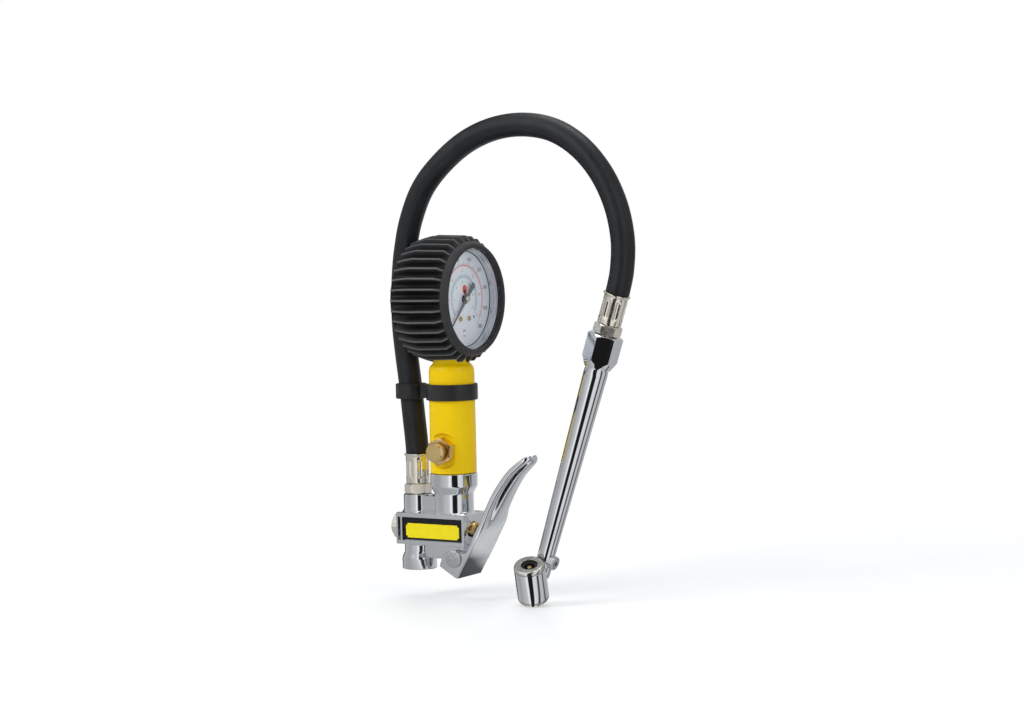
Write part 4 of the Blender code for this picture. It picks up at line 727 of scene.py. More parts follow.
def ferrule(name):
    """Crimped sleeve along Z: plain ends, eight pressed flutes, and a flared rim."""
    outer = [(0.0000, FERRULE_R - 0.0004), (0.0001, FERRULE_R - 0.0001),
             (0.0004, FERRULE_R)]
    outer += [(0.0004 + 0.0150 * i / 30, FERRULE_R) for i in range(1, 31)]
    outer += [(0.0158, FERRULE_R + 0.0001), (0.0162, FERRULE_R + 0.0004),
              (0.0166, FERRULE_RIM_R - 0.0001), (0.0170, FERRULE_RIM_R),
              (0.0173, FERRULE_RIM_R - 0.0001), (0.0174, FERRULE_RIM_R - 0.0004)]
    inner = [(0.0172, FERRULE_RIM_R - 0.0007), (0.0160, FERRULE_BORE_R),
             (0.0012, FERRULE_BORE_R), (0.0011, 0.0042), (0.0, 0.0040)]
    columns = 96
    rings = []
    for at, radius in outer + inner:
        run = min(max((at - 0.0026) / 0.0018, 0), max(0, min((0.0144 - at) / 0.0018, 1)), 1)
        press = run * run * (3 - 2 * run) if radius >= FERRULE_R - 0.00001 else 0.0
        ring = []
        for i in range(columns):
            angle = FULL_TURN * i / columns
            flute = max(0.0, math.cos(FERRULE_FLUTES * angle)) ** 0.7
            r = radius - FLUTE_DEPTH * press * flute
            ring.append((r * math.cos(angle), r * math.sin(angle), at))
        rings.append(ring)
    return shade(lofted(name, rings, closed=True), 40)


def nipple(name):
    """Hose end: a hexagon on a threaded shank, and a neck that goes into the sleeve."""
    bar = hex_bar(name, NIPPLE_AF, 0, NIPPLE_HEX)
    weld(bar, rod(name + "_thread", PORT_BORE_R - FIT, -0.0060, 0.001),
         rod(name + "_neck", 0.0036, NIPPLE_HEX - 0.001, NIPPLE_HEX + 0.0013))
    cut(bar, rod(name + "_bore", 0.0022, -0.0070, NIPPLE_HEX + 0.002))
    return shade(bar, 20, weighted=True)


def make_hose():
    base = Matrix.Translation((0, 0, COLUMN_TOP + FIT))
    plate = nickel_plate("body_nickel", Matrix.Identity(4))
    lower_nut = stand(nipple("body_hose_nut"), base)
    fit(lower_nut, plate, "nickel", "body_nipple")
    lower_sleeve = stand(ferrule("body_crimp_sleeve"),
                         base @ Matrix.Translation((0, 0, NIPPLE_HEX + FIT)))
    fit(lower_sleeve, plate, "nickel", "body_ferrule")

    plate = nickel_plate("chuck_nickel", CHUCK)
    upper_sleeve = stand(ferrule("chuck_crimp_sleeve"),
                         CHUCK @ Matrix.Translation((0, 0, -FERRULE_LENGTH)))
    fit(upper_sleeve, plate, "nickel", "chuck_ferrule")
    upper_nut = stand(nipple("chuck_hose_nut"),
                      CHUCK @ Matrix.Translation((0, 0, -FERRULE_LENGTH - FIT - NIPPLE_HEX)))
    fit(upper_nut, plate, "nickel", "chuck_nipple")

    points, factors, lower_rim = hose_line()
    curve = bpy.data.curves.new("rubber_hose", "CURVE")
    curve.dimensions = "3D"
    curve.bevel_depth = HOSE_R
    curve.bevel_resolution = 10
    curve.use_fill_caps = True
    spline = curve.splines.new("POLY")
    spline.points.add(len(points) - 1)
    for knot, place, factor in zip(spline.points, points, factors):
        knot.co = (*place, 1)
        knot.radius = factor
    spline.use_smooth = True
    hose = bpy.data.objects.new("rubber_hose", curve)
    bpy.context.scene.collection.objects.link(hose)
    fit(hose, hose_rubber(), "rubber", "air_hose")


# ---------------------------------------------------------------- valve body

def make_valve_body():
    """The casting: label block, hose column, handle column, keel and lever lug."""
    body = block("valve_casting", (BLOCK_X[0], -BLOCK_HALF_Y + 0.0006, BLOCK_Z[0]),
                 (BLOCK_X[1], BLOCK_HALF_Y, BLOCK_Z[1]), 0.0010, 4)
    rim = block("label_rim", (BLOCK_X[0], -BLOCK_HALF_Y, BLOCK_Z[0] - 0.0002),
                (FRAME_END_X, -BLOCK_HALF_Y + FRAME_DEPTH, BLOCK_Z[1] + 0.0002), 0.0005)
    top, foot = BLOCK_Z[1], BLOCK_Z[0]
    column = turned("hose_column", [(0, COLUMN_TOP), *eased([
        (0.0060, COLUMN_TOP), (COLUMN_R, COLUMN_TOP), (COLUMN_R, top + 0.0010),
        (COLUMN_R + 0.0010, top - 0.0002)], 0.0007, 4),
        (COLUMN_R + 0.0012, top - 0.0012), (COLUMN_R + 0.0012, foot + 0.0012),
        *eased([(COLUMN_R + 0.0010, foot + 0.0002), (COLUMN_R, foot - 0.0010),
                (COLUMN_R, 0.0098), (INLET_COLLAR_R, 0.0068), (INLET_COLLAR_R, 0),
                (0.0070, 0)], 0.0007, 4), (0, 0)], 96)
    handle = turned("handle_column", [(0, COLLAR_Z[1]), *eased([
        (0.0110, COLLAR_Z[1]), (COLLAR_R, COLLAR_Z[1]), (COLLAR_R, COLLAR_Z[0]),
        (HANDLE_COLUMN_R, 0.0453), (HANDLE_COLUMN_R, top + 0.0010),
        (HANDLE_COLUMN_R + 0.0010, top - 0.0002)], 0.0006, 4),
        (HANDLE_COLUMN_R + 0.0010, 0.0260), (0, 0.0260)], 96)
    stand(handle, ON_HANDLE)
    bridge = block("column_web", (0.0040, -0.0058, 0.0300), (0.0180, 0.0058, 0.0432), 0.0006)
    lug = soften(stand(rod("lever_lug", LUG_R, -LUG_HALF_Y, LUG_HALF_Y, 72), ON_PIN), 0.0004)
    lug_root = block("lug_root", (PIN_X - LUG_R, -LUG_HALF_Y + 0.0004, PIN_Z),
                     (PIN_X + LUG_R - 0.0002, LUG_HALF_Y - 0.0004, foot + 0.002), 0.0004)
    keel = block("keel", (0.0050, -0.0046, 0.0068), (PIN_X - 0.002, 0.0046, 0.0180), 0.0007)
    weld(body, rim, column, handle, bridge, lug_root, lug, keel)

    face = -BLOCK_HALF_Y
    tools = [block("label_pocket", (LABEL_X[0], face - 0.001, LABEL_Z[0]),
                   (LABEL_X[1], face + LABEL_RECESS, LABEL_Z[1])),
             block("slot_pocket", (SLOT_X[0], face - 0.001, LABEL_Z[0]),
                   (SLOT_X[1], face + LABEL_RECESS, LABEL_Z[1])),
             rod("inlet_bore", INLET_BORE_R, -0.001, 0.012, 72),
             rod("hose_port", PORT_BORE_R, 0.0352, COLUMN_TOP + 0.001, 72),
             stand(rod("socket", SOCKET_R, SOCKET_FLOOR, COLLAR_Z[1] + 0.001, 72),
                   ON_HANDLE),
             stand(rod("spot_face", 0.0078, BLOCK_X[0] - 0.004, BLOCK_X[0]), ON_BORE),
             stand(rod("valve_bore", VALVE_BORE_R, BLOCK_X[0] - 0.001, 0.0140), ON_BORE),
             stand(rod("gland_bore", 0.0049, 0.0170, BLOCK_X[1] + 0.001), ON_BORE),
             stand(rod("pin_hole", PIN_R + FIT, -BLOCK_HALF_Y, BLOCK_HALF_Y), ON_PIN)]
    cut(body, *tools)
    shade(body, 30, weighted=True)
    fit(body, chrome_plate(), "chrome", "valve_body")


def make_label():
    """A black plate with a plain yellow panel, without any lettering."""
    plate_y = -BLOCK_HALF_Y + LABEL_RECESS - FIT
    x0, x1 = LABEL_X[0] + FIT, LABEL_X[1] - FIT
    z0, z1 = LABEL_Z[0] + FIT, LABEL_Z[1] - FIT
    plate = block("black_label", (x0, plate_y - 0.0005, z0), (x1, plate_y, z1), 0.0001, 2)
    shade(plate, weighted=True)
    black = label_film("label_black", (0.006, 0.007, 0.009), (0.010, 0.010, 0.012))
    fit(plate, black, "label", "label_plate")

    face = plate_y - 0.0005
    low, high = (-0.0002, 0.0196), (0.0363, 0.0280)
    panel = block("yellow_panel", (low[0], face - 0.00006, low[1]),
                  (high[0], face + 0.0001, high[1]))
    notch = 0.0011
    corners = [block("corner_step", (x - notch, face - 0.001, z - notch),
                     (x + notch, face + 0.001, z + notch))
               for x in (low[0], high[0]) for z in (low[1], high[1])]
    shade(cut(panel, *corners))
    yellow = label_film("label_yellow", (0.93, 0.78, 0.004), (0.91, 0.75, 0.004))
    fit(panel, yellow, "yellow")


def make_cross_valve():
    """Plug, gland and stem in the cross bore, made along Z, which is laid on +X."""
    face = BLOCK_X[0]
    head_in = face - 0.0008 - 2 * FIT
    plug = hex_bar("bore_plug", VALVE_PLUG_AF, head_in - 0.0070, head_in, True, False)
    weld(plug, rod("plug_shank", VALVE_BORE_R - FIT, head_in - 0.001, -0.0010))
    fit(shade(stand(plug, ON_BORE), 20, weighted=True),
        nickel_plate("plug_nickel", ON_BORE), "nickel", "valve_plug")
    washer = turned_ring("plug_joint", [
        (0.0064, face - FIT), (0.0064, face - FIT - 0.0008), (0.0050, face - FIT - 0.0008),
        (0.0050, face - FIT)], 0.0001, 2, 64)
    fit(shade(stand(washer, ON_BORE)), zinc_plate(), "steel", "plug_washer")

    brass = turned_brass("valve_brass", ON_BORE)
    stem = lathe("push_stem", 0.0470, [
        (0.0012, 0.0469), (0.0024, 0.0463), (0.0029, 0.0455), (0.0029, 0.0448),
        (0.0020, 0.0448), (0.0020, 0.0118), (0.0042, 0.0118), (0.0042, 0.0103),
        (0.0020, 0.0103), (0.0020, 0.0085)], 0.0085, 0.0002, 2, 48)
    fit(shade(stand(stem, ON_BORE)), brass, "brass", "valve_stem", body="stem")
    gland = turned_ring("bore_gland", [
        (0.0040, 0.0404), (0.0046, 0.0399), (0.0046, 0.0290), (0.0034, 0.0290),
        (0.0034, 0.0330), (0.0023, 0.0330), (0.0023, 0.0404)], 0.0002, 2, 64)
    fit(shade(stand(gland, ON_BORE)), brass, "brass", "valve_gland")


# ---------------------------------------------------------------- lever

def lever_ring(x, z, half, depth, rib, along):
    """One closed section of the lever, square to its side line, with eased corners."""
    normal = Vector((along.z, 0, -along.x))
    edge = min(0.0009, half * 0.3)
    wall = min(LEVER_WALL, half * 0.6)
    web = min(LEVER_WALL, depth * 0.7)
    foot = half * 0.74
    outline = [
        (-half, -depth), (-half, -edge), (-half + edge, 0), (-foot, 0),
        (-foot * 0.74, rib * 0.72), (-foot * 0.38, rib), (foot * 0.38, rib),
        (foot * 0.74, rib * 0.72), (foot, 0), (half - edge, 0), (half, -edge),
        (half, -depth), (half - wall, -depth), (half - wall, -web),
        (-half + wall, -web), (-half + wall, -depth)]
    centre = Vector((x, 0, z))
    return [centre + Y_AXIS * y + normal * out
            for y, out in eased(outline, 0.0012, 4, loop=True)]


def make_lever():
    stations = smooth_through(LEVER_STATIONS, 8)
    rings = []
    for i, (x, z, half, depth, rib) in enumerate(stations):
        before = stations[max(i - 2, 0)]
        after = stations[min(i + 2, len(stations) - 1)]
        along = Vector((after[0] - before[0], 0, after[1] - before[1])).normalized()
        rings.append(lever_ring(x, z, half, depth, max(rib, 0.0), along))
    # The tip is closed by sections that shrink towards its middle.
    x, z, half, depth, rib = stations[-1]
    for step in (0.45, 0.75, 0.93, 1.0):
        size = math.sqrt(max(1 - step ** 2, 0.004))
        centre = Vector((x, 0, z)) - Vector((along.z, 0, -along.x)) * depth * 0.4
        ahead = along * 0.0004 * step
        rings.append([centre + (p - centre) * size + ahead for p in rings[len(stations) - 1]])
    lever = lofted("squeeze_lever", rings)
    cut(lever, stand(rod("pin_way", PIN_R + FIT, -0.02, 0.02), ON_PIN))
    shade(lever, 38)
    fit(lever, lever_chrome(), "chrome", "lever", body="lever")

    head = LEVER_HALF_WIDTH + FIT
    tail = -LEVER_HALF_WIDTH - 0.0022
    groove = (-LEVER_HALF_WIDTH - 0.0004, -LEVER_HALF_WIDTH - 0.0014)
    pin = lathe("headed_pin", head + 0.0011, [
        (0.0040, head + 0.0011), (0.0050, head + 0.0009), (0.0050, head), (PIN_R, head),
        (PIN_R, groove[0]), (PIN_R - 0.0006, groove[0]), (PIN_R - 0.0006, groove[1]),
        (PIN_R, groove[1]), (PIN_R, tail + 0.0003), (PIN_R - 0.0003, tail)],
        tail, 0.0002, 2, 64)
    across = aimed((PIN_X, 0, PIN_Z), -Y_AXIS)
    shade(stand(pin, across))
    steel = zinc_plate().turning_marks(across, 0.0008, 0.12, 0.00004)
    fit(pin, steel, "steel", "lever_pin")


# ---------------------------------------------------------------- handle

def make_handle():
    shoulder = eased([(NECK_R, NECK_TOP), (NECK_R, BARREL_TOP + 0.0006), (0.0126, 0.1186),
                      (BARREL_TOP_R, BARREL_SHOULDER), (BARREL_TOP_R, 0.1100)], 0.0008, 4)
    spigot = SOCKET_R - FIT
    barrel = turned("yellow_handle", [
        (GAUGE_THREAD_R, BARREL_TOP - 0.0004), (GAUGE_STEM_R + 0.0003, BARREL_TOP - 0.0004),
        (GAUGE_STEM_R + 0.0003, NECK_TOP), *shoulder, (BARREL_R, 0.0800), (BARREL_R, 0.0577),
        (BARREL_R - 0.0002, 0.0573), (BARREL_R - 0.0005, BARREL_BOTTOM),
        (spigot, BARREL_BOTTOM), (spigot, SOCKET_FLOOR + 2 * FIT),
        (0.0084, SOCKET_FLOOR + 2 * FIT), (0.0084, 0.0572), (0.0090, 0.0580),
        (0.0090, 0.1080), (GAUGE_THREAD_R, 0.1110)], 128, loop=True)
    stand(barrel, ON_HANDLE)
    outwards = aimed((HANDLE_X, 0, RELEASE_Z), RELEASE_AXIS)
    spot = turned("spot_face_cutter", [(0, 0.02), (SPOT_FACE_R + 0.0003, 0.02), *eased([
        (SPOT_FACE_R + 0.0003, 0.0135), (SPOT_FACE_R, SPOT_FACE_AT + 0.0002),
        (SPOT_FACE_R - 0.0004, SPOT_FACE_AT)], 0.0003, 2), (0, SPOT_FACE_AT)], 72)
    cut(barrel, stand(spot, outwards),
        stand(rod("release_hole", RELEASE_SHANK_R + FIT, 0.0040, 0.02), outwards))
    shade(barrel, 30, weighted=True)
    fit(barrel, yellow_enamel(), "yellow", "handle_barrel")

    seat, face, button = SPOT_FACE_AT + FIT, RELEASE_NUT_FACE, RELEASE_BUTTON_FACE
    under_head = button - RELEASE_HEAD
    nut = hex_bar("release_hexagon", RELEASE_NUT_AF, seat, face, False, True)
    weld(nut, rod("release_shank", RELEASE_SHANK_R, 0.0055, seat + 0.001))
    cut(nut, rod("release_guide", 0.0040, 0.0080, face + 0.001),
        rod("release_rod_hole", 0.0018, 0.0040, 0.0090))
    shade(stand(nut, outwards), 20, weighted=True)
    brass = turned_brass("release_brass", outwards)
    fit(nut, brass, "brass", "release_nut")
    knob = lathe("release_knob", button, [
        (RELEASE_BUTTON_R - 0.0008, button - 0.00005), (RELEASE_BUTTON_R, button - 0.0008),
        (RELEASE_BUTTON_R, under_head + 0.0004), (RELEASE_BUTTON_R - 0.0004, under_head),
        (0.0036, under_head), (0.0036, 0.0155), (0.0014, 0.0155), (0.0014, 0.0034),
        (0.0025, 0.0034), (0.0025, 0.0022)], 0.0022, 0.0003, 3, 72)
    fit(shade(stand(knob, outwards)), brass, "brass", "release_button", body="button")


def make_clip():
    """Moulded clip: a band round the handle, one round the hose, and a web."""
    low, high = CLIP_Z
    clip = stand(soften(rod("hose_holder", CLIP_BAND_R, low, high, 96), 0.0005), ON_HANDLE)
    loop = soften(rod("hose_band", CLIP_LOOP_R, low + 0.0003, high - 0.0003, 72), 0.0005)
    stand(loop, Matrix.Translation((CLIP_HOSE_X, 0, 0)))
    web = block("clip_web", (CLIP_HOSE_X, -0.0034, low + 0.0008),
                (HANDLE_X, 0.0034, high - 0.0008), 0.0004)
    weld(clip, loop, web)
    handle_way = stand(rod("handle_way", BARREL_R + 0.00025, 0.09, 0.12, 96), ON_HANDLE)
    (x0, z0), (x1, z1) = HOSE_ROUTE[1:3]
    lean = Vector((x1 - x0, 0, z1 - z0))
    middle = (low + high) / 2
    hose_way = stand(rod("hose_way", HOSE_R + 0.0004, -0.009, 0.009, 72),
                     aimed((CLIP_HOSE_X, 0, middle), lean))
    cut(clip, handle_way, hose_way)
    shade(clip, 30, weighted=True)
    fit(clip, clip_nylon(), "plastic", "hose_clip")


# ---------------------------------------------------------------- gauge

def make_boot():
    """Rubber boot: narrow ribs with wide valleys between, a smooth cone and a rolled lip."""
    # Across one rib: part of the pitch from its middle, and how high it stands there.
    rib = ((-0.50, 0.00), (-0.42, 0.03), (-0.28, 0.20), (-0.17, 0.52), (-0.105, 0.88),
           (-0.080, 0.98), (-0.055, 1.0), (0.055, 1.0), (0.080, 0.98), (0.105, 0.88),
           (0.17, 0.52), (0.28, 0.20), (0.42, 0.03))
    pitch = FULL_TURN / RIB_COUNT
    back, front, opening = BOOT_BACK_X, BOOT_FRONT_X, BOOT_OPENING_R
    case_back, lens_front = CASE_X[0] - FIT, LENS_X[1] + FIT
    (back_x, back_r), (full_x, full_r), (end_x, end_r) = RIB_CREST
    low = VALLEY_R
    # Along the boot: x, radius in the valleys, radius on the crests
    stations = (
        (back, 0.0300, 0.0300), (back, 0.0320, 0.0320), (back + 0.0002, 0.0324, 0.0325),
        (back + 0.0009, 0.0321, 0.0336), (back_x, low, back_r),
        ((back_x + full_x) / 2, low, (back_r + full_r) / 2 + 0.0002),
        (full_x, low, full_r), ((full_x + end_x) / 2, low, (full_r + end_r) / 2),
        (end_x - 0.0003, low, end_r), (end_x + 0.0002, low, end_r - 0.0001),
        (RIB_END_X - 0.0003, RIB_END_R - 0.0003, RIB_END_R + 0.0003),
        (RIB_END_X, RIB_END_R, RIB_END_R), (RIB_END_X + 0.0012, 0.0327, 0.0327),
        (front - 0.0012, 0.0319, 0.0319), (front - 0.0005, 0.0314, 0.0314),
        (front - 0.0001, 0.0309, 0.0309), (front, 0.0305, 0.0305),
        (front, 0.0298, 0.0298), (front - 0.0002, 0.0294, 0.0294),
        (front - 0.0006, WINDOW_R, WINDOW_R), (lens_front, WINDOW_R, WINDOW_R),
        (lens_front, BOOT_R, BOOT_R), (case_back, BOOT_R, BOOT_R),
        (case_back, opening + 0.0002, opening + 0.0002),
        (case_back - 0.0002, opening, opening), (back + 0.0002, opening, opening),
        (back, opening + 0.0002, opening + 0.0002))
    rings = []
    for x, valley, crest in stations:
        ring = []
        for i in range(RIB_COUNT):
            middle = -math.pi / 2 + pitch * i
            for part, rise in rib:
                angle = middle + pitch * part
                r = valley + (crest - valley) * rise
                ring.append((x, r * math.cos(angle), GAUGE_Z + r * math.sin(angle)))
        rings.append(ring)
    boot = lofted("ribbed_boot", rings, closed=True)
    cut(boot, stand(
        rod("neck_hole", NECK_R + 0.0001, GAUGE_Z - 0.040, GAUGE_Z - 0.025), ON_HANDLE))
    shade(boot, 28)
    fit(boot, boot_rubber(), "rubber", "gauge_boot")


def make_case():
    """Case with a stepped inner wall behind the lens, made along Z, laid on +X."""
    inner = CASE_R - 0.0010
    case = turned_ring("steel_case", [
        (0.0040, CASE_X[0]), (CASE_R, CASE_X[0]), (CASE_R, CASE_X[1]),
        (0.0289, CASE_X[1]), (0.0289, 0.0388), (0.0284, 0.0386), (0.0284, 0.0374),
        (0.0279, 0.0372), (0.0279, 0.0360), (0.0276, 0.0350), (inner, 0.0350),
        (inner, CASE_X[0] + 0.0010), (0.0040, CASE_X[0] + 0.0010)], 0.00015, 2, 128)
    cut(stand(case, ON_GAUGE), stand(
        rod("case_stem_hole", GAUGE_STEM_R + 0.0004, GAUGE_Z - 0.036, GAUGE_Z - 0.020),
        ON_HANDLE))
    shade(case)
    fit(case, spun_steel(ON_GAUGE), "steel", "gauge_case")

    lens = turned("clear_lens", [(0, LENS_X[1] + 0.0010), (0.0090, LENS_X[1] + 0.00093),
                                 (0.0180, LENS_X[1] + 0.0007), (0.0240, LENS_X[1] + 0.0004),
                                 (0.0278, LENS_X[1]), (LENS_R, LENS_X[1]),
                                 (LENS_R, LENS_X[0]), (0, LENS_X[0])], 128)
    fit(shade(stand(lens, ON_GAUGE)), lens_sheet(), "lens", "gauge_lens")

    dial = turned_ring("lacquered_dial", [
        (DIAL_R, DIAL_X[0]), (DIAL_R, DIAL_X[1]), (0.0022, DIAL_X[1]),
        (0.0022, DIAL_X[0])], 0.0001, 2, 128)
    fit(shade(stand(dial, ON_GAUGE)), dial_lacquer(), "dial", "gauge_dial")

    brass = turned_brass("dial_brass", ON_GAUGE)
    low = DIAL_X[1] + FIT
    for side, y, slot_turn in (("left", -DIAL_SCREW_Y, 70), ("right", DIAL_SCREW_Y, 25)):
        screw = lathe("slotted_screw_" + side, low + 0.0009, [
            (0.0009, low + 0.0008), (0.0015, low + 0.0004), (0.0015, low)],
            low, 0.0002, 2, 40)
        slot = block("screw_slot", (-0.0020, -0.00022, low + 0.0004),
                     (0.0020, 0.00022, low + 0.0020))
        cut(screw, stand(slot, Matrix.Rotation(math.radians(slot_turn), 4, "Z")))
        shade(stand(screw, aimed((0, y, GAUGE_Z - DIAL_SCREW_DROP), X_AXIS)))
        fit(screw, brass, "brass", "dial_screw_" + side)


def join_pieces(name, pieces):
    bpy.ops.object.select_all(action="DESELECT")
    for piece in pieces:
        piece.select_set(True)
    bpy.context.view_layer.objects.active = pieces[0]
    bpy.ops.object.join()
    pieces[0].name = pieces[0].data.name = name
    return pieces[0]


def on_dial(radius=0.0, angle=0.0):
    """Where print lies on the dial: at a radius, and at an angle from +Y to +Z."""
    return Matrix.Translation((DIAL_X[1] + PRINT_DEPTH, radius * math.cos(angle),
                               GAUGE_Z + radius * math.sin(angle))) @ FACING_FRONT


def dial_figure(text, size, radius, angle):
    """Upright print, its middle at a radius and an angle."""
    bpy.ops.object.text_add()
    obj = pick(bpy.context.object)
    obj.data.body = text
    obj.data.size = size
    obj.data.align_x = obj.data.align_y = "CENTER"
    obj.data.extrude = PRINT_DEPTH / 2
    obj.data.resolution_u = 4
    bpy.ops.object.convert(target="MESH")
    return stand(obj, on_dial(radius, angle))


def dial_ticks(low, high, width, first, last, count):
    """Equal strokes between two radii, spread from the first angle to the last."""
    bpy.ops.mesh.primitive_cube_add(size=1, location=((low + high) / 2, 0, 0),
                                    scale=(high - low, width, PRINT_DEPTH))
    obj = named("tick")
    bpy.ops.object.mode_set(mode="EDIT")
    bpy.ops.mesh.select_all(action="SELECT")
    bpy.ops.mesh.spin(steps=count, angle=first - last, center=(0, 0, 0), axis=(0, 0, 1),
                      dupli=True)
    bpy.ops.object.mode_set(mode="OBJECT")
    return stand(obj, on_dial() @ Matrix.Rotation(first, 4, "Z"))


def dial_arc(low, high, first, last, steps=72):
    """A line between two radii, from the first angle to the last."""
    bpy.ops.mesh.primitive_plane_add(size=1)
    obj = stand(named("arc"), Matrix.Translation(((low + high) / 2, 0, 0))
                @ Matrix.Rotation(math.pi / 2, 4, "X")
                @ Matrix.Diagonal((high - low, PRINT_DEPTH, 1, 1)))
    bpy.ops.object.mode_set(mode="EDIT")
    bpy.ops.mesh.select_all(action="SELECT")
    bpy.ops.mesh.spin(steps=steps, angle=first - last, center=(0, 0, 0), axis=(0, 0, 1))
    close_skin(0.0000005)
    return stand(obj, on_dial() @ Matrix.Rotation(first, 4, "Z"))


def dial_spot(radius, place_radius, angle):
    bpy.ops.mesh.primitive_cylinder_add(vertices=32, radius=radius, depth=PRINT_DEPTH)
    return stand(named("spot"), on_dial(place_radius, angle))


def make_dial_print():
    """Three scales over 270 degrees: pounds outside, bar in red, kilograms in green, and
    a blue line that follows bar."""
    sweep, full, top_bar = math.radians(-270), 180, 12
    per_bar, per_kilogram = 14.504, 14.223

    def at(pressure):
        return POINTER_ZERO + sweep * pressure / full

    def figures(size, radius, last, step, unit=1):
        return [dial_figure(str(n), size, radius, at(n * unit))
                for n in range(0, last + 1, step)]

    bar_end, kilogram_end = at(top_bar * per_bar), at(top_bar * per_kilogram)
    black = [*figures(0.0032, 0.0231, full, 20),
             dial_ticks(0.0197, 0.0211, 0.00024, at(0), at(full), 18),
             dial_ticks(0.0197, 0.0204, 0.00014, at(0), at(full), 90),
             dial_figure("psi", 0.0028, 0.0180, math.radians(-90))]
    red = [*figures(0.0025, 0.0162, top_bar, 2, per_bar),
           dial_arc(0.0190, 0.01945, at(0), bar_end),
           dial_ticks(0.0181, 0.0190, 0.00018, at(0), bar_end, 24),
           dial_figure("bar", 0.0024, 0.0212, math.radians(-90)),
           dial_spot(0.0023, 0.0057, math.radians(82)),
           dial_spot(0.0015, 0.0039, math.radians(74))]
    green = [*figures(0.0021, 0.0100, top_bar, 2, per_kilogram),
             dial_arc(0.0125, 0.01285, at(0), kilogram_end),
             dial_ticks(0.0117, 0.0125, 0.00016, at(0), kilogram_end, 24)]
    blue = [dial_arc(0.0135, 0.01375, at(0), bar_end),
            dial_ticks(0.01375, 0.0145, 0.00014, at(0), bar_end, 24),
            dial_spot(0.0009, 0.0148, math.radians(-46))]
    for name, pieces, colour in (("black", black, (0.02, 0.02, 0.025)),
                                 ("red", red, (0.75, 0.07, 0.04)),
                                 ("green", green, (0.05, 0.36, 0.20)),
                                 ("blue", blue, (0.07, 0.25, 0.55))):
        fit(join_pieces(name + "_print", pieces), ink(name + "_ink", colour), "dial")


def make_pointer():
    """Thin needle with a broad counter-tail, turned to the zero of the scale."""
    outline = eased([
        (0.0216, 0.00030), (0.0030, 0.0009), (0.0021, 0.0019), (-0.0021, 0.0019),
        (-0.0040, 0.0009), (-0.0115, 0.0017), (-0.0122, 0.0), (-0.0115, -0.0017),
        (-0.0040, -0.0009), (-0.0021, -0.0019), (0.0021, -0.0019), (0.0030, -0.0009),
        (0.0216, -0.00030)], 0.0006, 3, loop=True)
    rings = [[(x * size, y * size, z) for x, y in outline]
             for z, size in ((-0.00025, 1.0), (0.0002, 1.0), (0.00025, 0.985))]
    needle = lofted("grey_needle", rings)
    place = (Matrix.Translation((POINTER_X, 0, GAUGE_Z)) @ FACING_FRONT
             @ Matrix.Rotation(POINTER_ZERO, 4, "Z"))
    cut(needle, rod("eye", 0.0009, -0.002, 0.002))
    fit(shade(stand(needle, place)), pointer_paint(), "pointer", "gauge_pointer",
        body="pointer")
    cap = lathe("hub_cap", 0.0381, [
        (0.0005, 0.0381), (0.0005, 0.0384), (0.0012, 0.0383), (0.0018, 0.0378),
        (0.0018, 0.0370), (0.0009, 0.0370), (0.0009, 0.0379)], 0.0379, 0.00015, 2, 48)
    fit(shade(stand(cap, ON_GAUGE)), nickel_plate("cap_plate", ON_GAUGE), "brass",
        "pointer_cap", body="pointer")


# ---------------------------------------------------------------- chuck

def make_chuck():
    """Hexagon, long tapered wand, boss and cross head, made in the chuck's own frame."""
    back = CHUCK.inverted()
    head_centre = back @ HEAD_CENTRE
    head_axis = back.to_3x3() @ HEAD_AXIS
    hex_top, hex_low = CHUCK_HEX
    cone_end = hex_low - 0.0030
    body = hex_bar("chuck_casting", CHUCK_HEX_AF, cone_end, hex_top, cone=0.0058)
    wand = lathe("wand", hex_low + 0.004, [
        (CHUCK_HEX_AF / 2 - 0.0024, cone_end + 0.0006), (WAND_TOP_R, WAND_TOP - 0.0020),
        (WAND_END_R, WAND_END + 0.012), (WAND_END_R, WAND_END),
        (WAND_END_R * 0.8, WAND_END - 0.0025), (WAND_END_R * 0.4, WAND_END - 0.0040)],
        WAND_END - 0.0044, 0.0012, 4, 96)
    boss = stand(soften(rod("boss", BOSS_R, 0, BOSS_REACH, 64), 0.0005), ON_BOSS)
    shoulder = HEAD_HALF - CAP_FLANGE - FIT
    head = lathe("head", shoulder, [
        (0.0070, shoulder), (HEAD_R, shoulder), (HEAD_R, -shoulder), (0.0070, -shoulder)],
        -shoulder, 0.0004, 3, 96)
    stand(head, aimed(head_centre, head_axis))
    weld(body, wand, boss, head)
    tools = [stand(rod("cap_room", HEAD_R + FIT, shoulder, shoulder + 0.010, 72),
                   aimed(head_centre, head_axis)),
             rod("fitting_thread", PORT_BORE_R, hex_top - 0.0110, hex_top + 0.001),
             stand(rod("plug_hole", 0.0031, 0.0030, BOSS_REACH + 0.001), ON_BOSS)]
    tools += [stand(rod("face_bore", HEAD_BORE_R, 0.0055, HEAD_HALF + 0.001, 72),
                    aimed(head_centre, head_axis * sign)) for sign in (1, -1)]
    shade(stand(cut(body, *tools), CHUCK), 30, weighted=True)
    fit(body, wand_chrome(), "chrome", "chuck_body")

    plug = soften(rod("key_plug", 0.0028, 0.0033, BOSS_REACH + 0.0002), 0.0002, 2)
    cut(plug, rod("key_socket", 0.0015, BOSS_REACH - 0.0018, BOSS_REACH + 0.001, 6))
    shade(stand(plug, CHUCK @ ON_BOSS))
    fit(plug, zinc_plate(), "steel", "chuck_plug")
    for sign, label in ((1, "front"), (-1, "rear")):
        make_chuck_face(label, CHUCK @ aimed(head_centre, head_axis * sign))


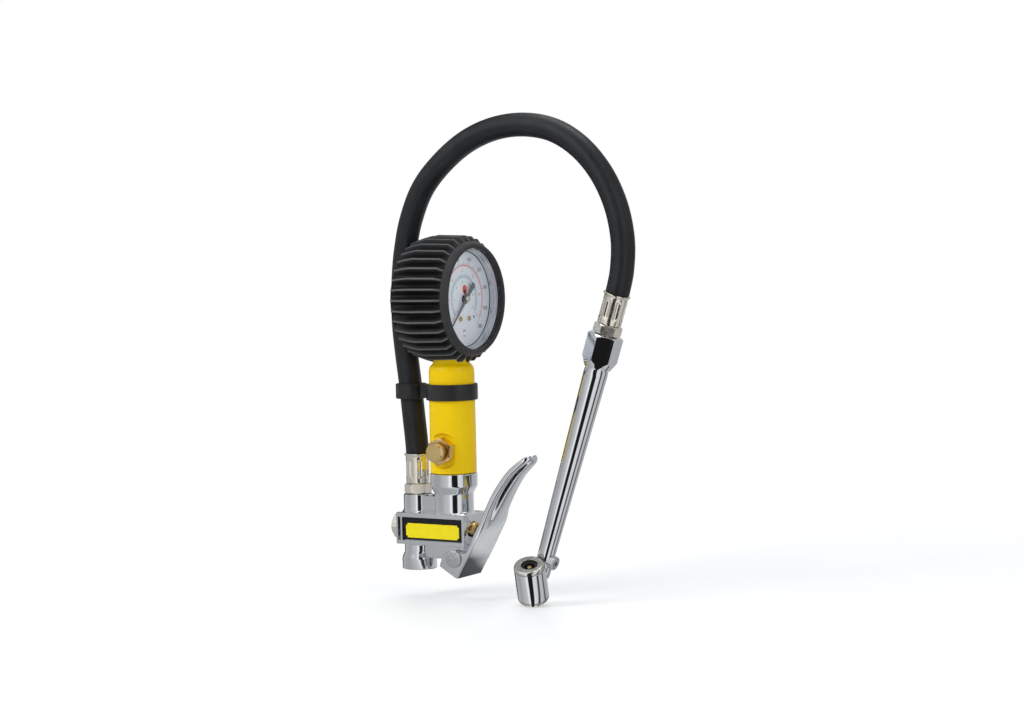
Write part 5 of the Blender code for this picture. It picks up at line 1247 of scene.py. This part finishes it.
def make_chuck_face(label, frame_here):
    """Cap, seal and pin of one face; heights are distances from the head's middle."""
    flange = HEAD_HALF - CAP_FLANGE
    cap = turned_ring("ring_cap_" + label, [
        (HEAD_R - 0.0011, HEAD_HALF), (HEAD_R - 0.0002, HEAD_HALF - 0.0007),
        (HEAD_R, HEAD_HALF - 0.0014), (HEAD_R, flange), (HEAD_BORE_R - FIT, flange),
        (HEAD_BORE_R - FIT, 0.0088), (CAP_HOLE_R, 0.0088), (CAP_HOLE_R, HEAD_HALF)],
        0.0003, 3, 96)
    notch = block("cap_notch", (CAP_HOLE_R - 0.0008, -0.0008, HEAD_HALF - 0.0007),
                  (CAP_HOLE_R + 0.0024, 0.0008, HEAD_HALF + 0.001), 0.0002, 2)
    cut(cap, notch)
    shade(stand(cap, frame_here), 30, weighted=True)
    dulled = nickel_plate("cap_nickel_" + label, frame_here, (0.76, 0.75, 0.72),
                          (0.68, 0.66, 0.61))
    fit(cap, dulled, "steel", "chuck_cap_" + label)
    seal = turned_ring("face_seal_" + label, [
        (0.0041, 0.0109), (0.0044, 0.0106), (0.0044, 0.0085), (HEAD_BORE_R - FIT, 0.0085),
        (HEAD_BORE_R - FIT, 0.0058), (0.0032, 0.0058), (0.0032, 0.0109)], 0.0002, 3, 72)
    fit(shade(stand(seal, frame_here)), seal_rubber(), "rubber", "chuck_seal_" + label)
    pin = lathe("valve_pin_" + label, 0.0103, [
        (0.0011, 0.0103), (0.0014, 0.0100), (0.0014, 0.0055), (0.0040, 0.0055),
        (0.0040, 0.0047), (0.0014, 0.0047), (0.0014, 0.0037)], 0.0037, 0.0002, 2, 48)
    fit(shade(stand(pin, frame_here)), turned_brass("pin_brass_" + label, frame_here), "brass",
        "chuck_pin_" + label, body="pin_" + label)


# ---------------------------------------------------------------- solids that stay

def finish_inner_solids():
    """The works and springs keep their solids and get real finishes."""
    brass = turned_brass("works_brass", ON_GAUGE)
    steel, seal, rubber = zinc_plate(), seal_rubber(), boot_rubber()
    finishes = {
        brass: ("pinion_shaft", "sector_gear", "movement_link", "movement_back_plate",
                "movement_front_plate", "movement_pillar_left", "movement_pillar_right",
                "bourdon_tube", "gauge_socket"),
        steel: ("pin_clip", "valve_spring", "release_spring", "chuck_spring_front",
                "chuck_spring_rear"),
        seal: ("valve_seal", "stem_ring", "barrel_ring", "release_seal"),
        rubber: ("case_vent_plug",),
    }
    for finish, names in finishes.items():
        for name in names:
            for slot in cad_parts[name].material_slots:
                slot.material = finish.material


set_camera()
set_world()
make_floor()
make_tent()
set_lamps()
make_hose()
make_valve_body()
make_label()
make_cross_valve()
make_lever()
make_handle()
make_clip()
make_boot()
make_case()
make_dial_print()
make_pointer()
make_chuck()
finish_inner_solids()

bpy.ops.object.select_all(action="DESELECT")
